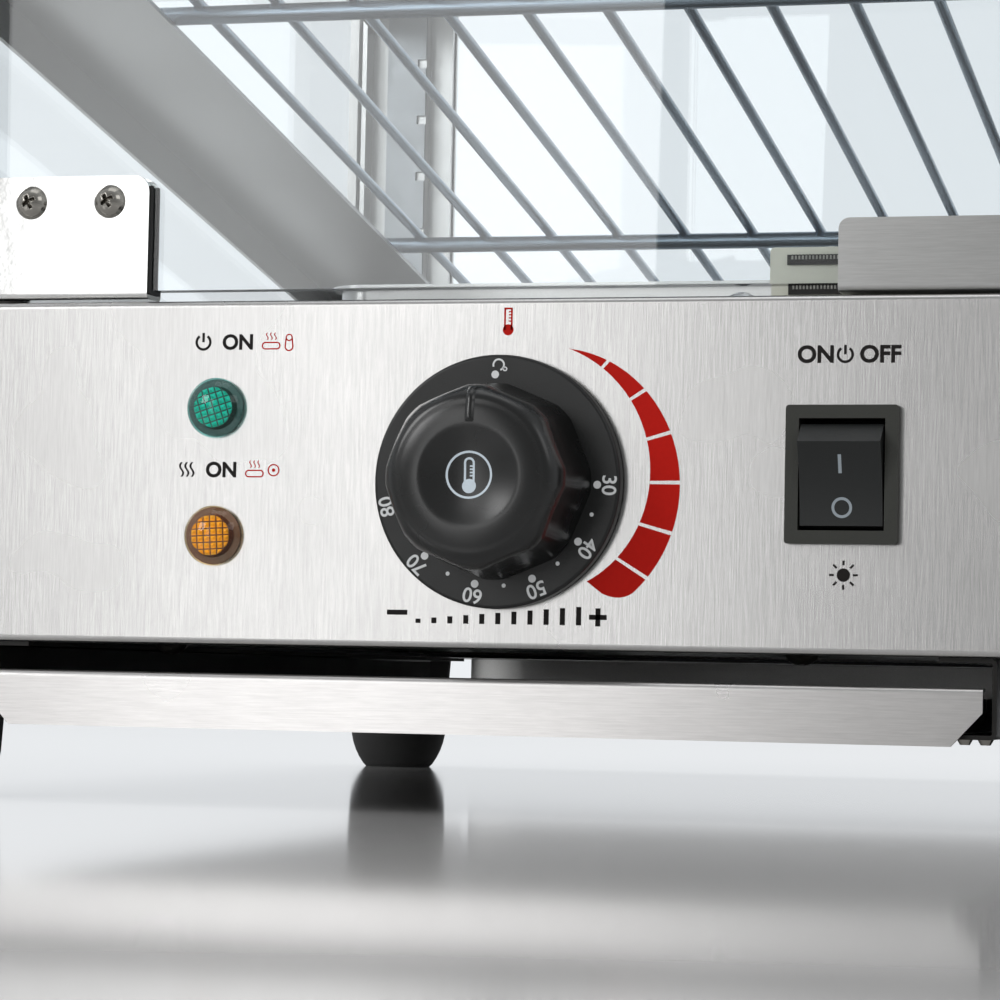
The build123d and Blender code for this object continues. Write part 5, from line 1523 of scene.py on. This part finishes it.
@dataclass
class PilotLamp:
    """A clear coloured dome over a disc of small pyramids.

    Args:
        node: The plain lens that it replaces.
        dome: The dome's finish.
        core: The finish of the disc.
        ring: The finish of the floor round the disc, dark with painted shade.
        slot: The record's slot.
        turn: Degrees that the disc is turned.
        cells: Pyramids across the disc.
        disc_mm: Radius of the disc.
        rim_mm: Height of the dome's straight rim.
        under_mm: How far the disc lies under the top of the dome.
    """

    node: str
    dome: Finish
    core: Finish
    ring: Finish
    slot: str
    turn: float
    cells: int = 6
    disc_mm: float = 4.7
    rim_mm: float = 1.2
    under_mm: float = 2.0

    def build(self) -> None:
        """Make the dome, the floor and the pyramids."""
        low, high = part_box(self.node)
        seat = Vector(((low.x + high.x) / 2, high.y, (low.z + high.z) / 2))
        radius = (high.x - low.x) / 2 / MM
        rise = (high.y - low.y) / MM
        deck = rise - self.under_mm
        upright = Matrix.Translation(seat) @ Matrix.Rotation(math.radians(90), 4, "X")
        dome = turned_mesh(self.node + "_dome", self.dome_profile(radius, rise), sides=64)
        floor = turned_mesh(self.node + "_floor", self.floor_profile(radius, deck), sides=48)
        # The floor's dark colour is painted shade round the prisms.
        for part, mesh, finish, swapped in (
            ("dome", dome, self.dome, (self.node,)),
            ("floor", floor, self.ring, ()),
            ("core", self.pyramids(deck), self.core, ()),
        ):
            mesh.transform(upright)
            adopt(mesh_object(f"{self.node}_{part}", mesh, finish), "cabinet", self.slot, *swapped)

    def dome_profile(self, radius: float, rise: float) -> Outline:
        """Return the dome's profile: a chamfered foot, a straight rim and a round top.

        Args:
            radius: Radius of the lens.
            rise: Its height.
        """
        foot, chamfer, rim_start = 0.12, 0.25, 0.3
        crown = rise - self.rim_mm
        ball = (radius**2 + crown**2) / (2 * crown)
        steps = 16
        profile = [(0, foot), (radius - chamfer, foot), (radius, rim_start), (radius, self.rim_mm)]
        for step in range(1, steps):
            reach = radius * math.cos(math.pi / 2 * step / steps)
            profile.append((reach, self.rim_mm + math.sqrt(ball**2 - reach**2) - ball + crown))
        profile.append((0, rise))
        return profile

    def floor_profile(self, radius: float, deck: float) -> Outline:
        """Return the profile of the floor, dark with painted shade: a ring that steps up to the disc.

        Args:
            radius: Radius of the lens.
            deck: Height of the disc.
        """
        level, edge, step_up, gap = 0.3, 0.5, 0.2, 0.1
        return [
            (radius - edge, level),
            (self.disc_mm + step_up, level + step_up),
            (self.disc_mm, deck - gap),
            (0, deck - gap),
        ]

    def pyramids(self, deck: float) -> Mesh:
        """Return the disc's pyramids, their shape in shares of a cell's side, in a grid inside its rim.

        Args:
            deck: Height of the disc.
        """
        foot, height, past_rim = 0.4, 0.42, 0.3
        side = 2 * self.disc_mm / self.cells
        form = bmesh.new()
        square = ((-1, -1), (1, -1), (1, 1), (-1, 1))
        base = [form.verts.new((x * foot, y * foot, 0)) for x, y in square]
        tip = form.verts.new((0, 0, height))
        for first, second in zip(base, base[1:] + base[:1]):
            form.faces.new([first, second, tip])
        item = plain_mesh(self.node + "_pyramid", form)
        angle = math.radians(self.turn)
        spots = []
        for row in range(self.cells):
            for column in range(self.cells):
                x = (column - (self.cells - 1) / 2) * side
                y = (row - (self.cells - 1) / 2) * side
                if math.hypot(x, y) < self.disc_mm + past_rim * side:
                    across = x * math.cos(angle) - y * math.sin(angle)
                    along = x * math.sin(angle) + y * math.cos(angle)
                    place = Matrix.Translation((across * MM, along * MM, deck * MM))
                    spots.append(place @ Matrix.Rotation(angle, 4, "Z"))
        mesh = repeated(self.node + "_pyramids", spots, item, self.core, size=side * MM)
        for vertex in mesh.vertices:
            reach = math.hypot(vertex.co.x, vertex.co.y) / MM
            if reach > self.disc_mm:
                vertex.co.x *= self.disc_mm / reach
                vertex.co.y *= self.disc_mm / reach
        return mesh


@dataclass
class PoleTeeth:
    """The fine ribs pressed into the upper edge of the catch's two pole bars.

    Real ribs are finer than the picture shows, so they are drawn as coarse as they need to show.

    Args:
        pace_mm: Distance from one rib to the next.
        body: The body that they ride on.
        slot: The record's material slot.
    """

    pace_mm: float = 0.8
    body: str = "cabinet"
    slot: str = "dark_steel"

    def build(self) -> None:
        """Lay the ribs along both bars."""
        spots = []
        for group in islands("catch_poles"):
            low, high = group_box(group)
            count = int((high.x - low.x) / MM / self.pace_mm) - 2
            for step in range(count):
                across = low.x + (step + 1.5) * self.pace_mm * MM
                spots.append(Matrix.Translation((across, low.y, high.z)))
        # The ribs' light grey is a painted highlight along the bars' top edge.
        mesh = repeated("pole_teeth", spots, self.tooth(), POLE_RIB_HIGHLIGHT)
        adopt(mesh_object("catch_pole_teeth", mesh, POLE_RIB_HIGHLIGHT), self.body, self.slot)

    def tooth(self) -> Mesh:
        """Return one rib: a half-round ridge over the bar's front upper edge."""
        half, deep, tall, proud = 0.26 * MM, 1.2 * MM, 1.1 * MM, 0.12 * MM
        form = bmesh.new()
        rows = []
        for across, lift in ((-half, 0.0), (-half / 2, proud), (half / 2, proud), (half, 0.0)):
            rows.append([
                form.verts.new((across, -lift, -tall)),
                form.verts.new((across, -lift, -deep / 4)),
                form.verts.new((across, deep / 4, lift)),
                form.verts.new((across, deep, lift)),
            ])
        for first, second in zip(rows, rows[1:]):
            for step in range(len(first) - 1):
                form.faces.new([first[step], second[step], second[step + 1], first[step + 1]])
        bmesh.ops.recalc_face_normals(form, faces=form.faces)
        return plain_mesh("pole_tooth", form)


class Casing:
    """Everything that the case carries with its frame shape: only finishes are added."""

    def build(self) -> None:
        """Dress the case, its door, its shelves and what lies inside."""
        dress(CASE_STEEL, "base_side_left", "base_side_right", "base_back", "deck_plate")
        dress(CASE_STEEL, "canopy_shell", "canopy_liner", "shelf_ledges", "water_tray")
        dress(POST_STEEL, "posts_front", "posts_rear")
        dress(TRAY_STEEL, "crumb_tray")
        dress(STRIKE_STEEL, "strike_plate")
        dress(POLISHED, "pivot_clip_lower", "pivot_clip_upper", "door_handle", "handle_washer")
        dress(SCREW_STEEL, "rail_rivets")
        dress(ZINC, "shelf_standards", "lamp_strap", "element_hangers")
        dress(WIRE, "shelf_lower", "shelf_middle", "shelf_upper")
        dress(DARK_STEEL, "catch_poles", "pivot_plate_lower", "pivot_plate_upper")
        # The bottom plate's near-black colour is painted shade under the base.
        dress(UNDERSIDE_SHADE_BLACK, "bottom_plate")
        # The rails' brown-black colour is painted shade under the base.
        dress(RAIL_SHADE_BROWN, "tray_rails")
        dress(GLASS, "door_glass", "side_glass_left", "side_glass_right", "rear_glass")
        dress(LAMP_GLASS, "lamp_lens", "lamp_bulb")
        dress(SOFT_DOME, "door_bumper")
        dress(RUBBER, "glass_seals", "glass_pads", "feet")
        dress(CATCH_PLASTIC, "catch_housing")
        dress(BLACK_PLASTIC, "thermostat_body", "pilot_bodies", "pilot_nuts", "cord_gland")
        dress(CERAMIC, "lamp_holder", "terminal_block")
        dress(SHEATH, "heating_element")
        dress(COPPER, "sensor_bulb")
        dress(BRASS, "spade_terminals")


@dataclass
class Studio:
    """The floor, the light and the camera.

    Args:
        yaw: Degrees that the camera turns left from straight at the case.
        pitch: Degrees that it looks up.
        roll: Degrees that it leans.
        lens: Its focal length on the sensor, in millimetres.
        sensor: Width of the sensor.
        eye: Where it stands.
        floor_half: Half the floor's side, in metres, so that its edge lies past every view.
    """

    yaw: float = 15.64
    pitch: float = 2.9
    roll: float = 1.147
    lens: float = 126.97
    sensor: float = 36.0
    eye: tuple[float, float, float] = (0.2249, -0.98465, 0.0314)
    floor_half: float = 40.0

    def build(self) -> None:
        """Set up the stage."""
        self.camera()
        self.floor()
        self.world()
        self.lamps()

    def camera(self) -> None:
        """Stand the camera where the photograph was taken from."""
        data = bpy.data.cameras.new("camera")
        data.lens = self.lens
        data.sensor_width = self.sensor
        data.clip_start = 0.02
        made = bpy.data.objects.new("camera", data)
        bpy.context.scene.collection.objects.link(made)
        turn = Matrix.Rotation(math.radians(self.yaw), 4, "Z")
        look = Matrix.Rotation(math.radians(90 + self.pitch), 4, "X")
        lean = Matrix.Rotation(math.radians(self.roll), 4, "Z")
        made.matrix_world = Matrix.Translation(self.eye) @ turn @ look @ lean
        bpy.context.scene.camera = made

    def floor(self) -> None:
        """Lay a pale glossy floor under the feet."""
        half = self.floor_half
        corners = [(-half, -half, 0), (half, -half, 0), (half, half, 0), (-half, half, 0)]
        mesh = bpy.data.meshes.new("floor")
        mesh.from_pydata(corners, [], [(0, 1, 2, 3)])
        mesh_object("floor", mesh, PALE_FLOOR)

    def world(self) -> None:
        """Light the room softly, and show it pale behind the case and greyer in front."""
        front, back, plain = linear("#A2A3A3"), linear("#EEF1F4"), linear("#FFFFFF")
        grey_end, pale_end = -0.9, 0.3
        ambient_strength = 0.75
        world = bpy.data.worlds.new("studio")
        bpy.context.scene.world = world
        world.use_nodes = True
        tree = world.node_tree
        tree.nodes.clear()
        path = add_node(tree, "ShaderNodeLightPath")
        glossy = add_node(
            tree,
            "ShaderNodeMath",
            {0: path.outputs["Is Camera Ray"], 1: path.outputs["Is Glossy Ray"]},
            operation="MAXIMUM",
        )
        seen = add_node(
            tree,
            "ShaderNodeMath",
            {0: glossy.outputs[0], 1: path.outputs["Is Transmission Ray"]},
            operation="MAXIMUM",
        )
        where = add_node(tree, "ShaderNodeTexCoord")
        parts = add_node(tree, "ShaderNodeSeparateXYZ", {"Vector": where.outputs["Generated"]})
        behind = add_node(
            tree,
            "ShaderNodeMapRange",
            {"Value": parts.outputs["Y"], "From Min": grey_end, "From Max": pale_end},
            interpolation_type="SMOOTHSTEP",
        )
        room = add_node(
            tree,
            "ShaderNodeMix",
            {"Factor": behind.outputs["Result"], "A": front, "B": back},
            data_type="RGBA",
        )
        ambient = add_node(tree, "ShaderNodeBackground", {"Color": plain, "Strength": ambient_strength})
        shown = add_node(tree, "ShaderNodeBackground", {"Color": room.outputs["Result"], "Strength": 1.0})
        mixed = add_node(
            tree, "ShaderNodeMixShader", {0: seen.outputs[0], 1: ambient.outputs[0], 2: shown.outputs[0]}
        )
        add_node(tree, "ShaderNodeOutputWorld", {"Surface": mixed.outputs[0]})

    def lamps(self) -> None:
        """Hang the soft lamps, each turned to the lower front of the case."""
        target = Vector((0, -0.2, 0.15))
        for name, place, width, height, watts in (
            ("key", (-0.80, -2.5, 0.5), 0.6, 1.6, 6.6),
            ("side", (-1.4, -1.6, 1.0), 0.8, 0.8, 13.0),
            ("fill", (2.2, -1.6, 1.6), 1.2, 1.2, 7.0),
            ("top", (0.0, -0.3, 2.6), 1.6, 1.6, 8.0),
            ("rear", (-1.2, 2.2, 1.8), 1.2, 1.2, 6.0),
        ):
            data = bpy.data.lights.new(name, "AREA")
            data.shape = "RECTANGLE"
            data.size = width
            data.size_y = height
            data.energy = watts
            lamp = bpy.data.objects.new(name, data)
            bpy.context.scene.collection.objects.link(lamp)
            lamp.location = place
            lamp.rotation_mode = "QUATERNION"
            lamp.rotation_quaternion = (target - Vector(place)).to_track_quat("-Z", "Y")


def main() -> None:
    """Build the case's looks."""
    logging.basicConfig(level=logging.INFO, format="%(message)s")
    bpy.context.scene.view_settings.view_transform = "Standard"
    for assembly in (
        Casing(),
        ControlPanel(),
        TemperatureDial(),
        Rocker(),
        PilotLamp("lamp_lens_upper", GREEN_LENS, GREEN_CORE, GREEN_FLOOR_SHADE, "green_lens", 18.0),
        PilotLamp("lamp_lens_lower", AMBER_LENS, AMBER_CORE, AMBER_FLOOR_SHADE, "amber_lens", 3.0),
        PoleTeeth(),
        CrossScrews("clip_screws", "door"),
        CrossScrews("catch_screws", "cabinet"),
        CrossScrews("base_screws", "cabinet"),
        CrossScrews("case_screws", "cabinet"),
        Studio(),
    ):
        assembly.build()


if __name__ == "__main__":
    main()
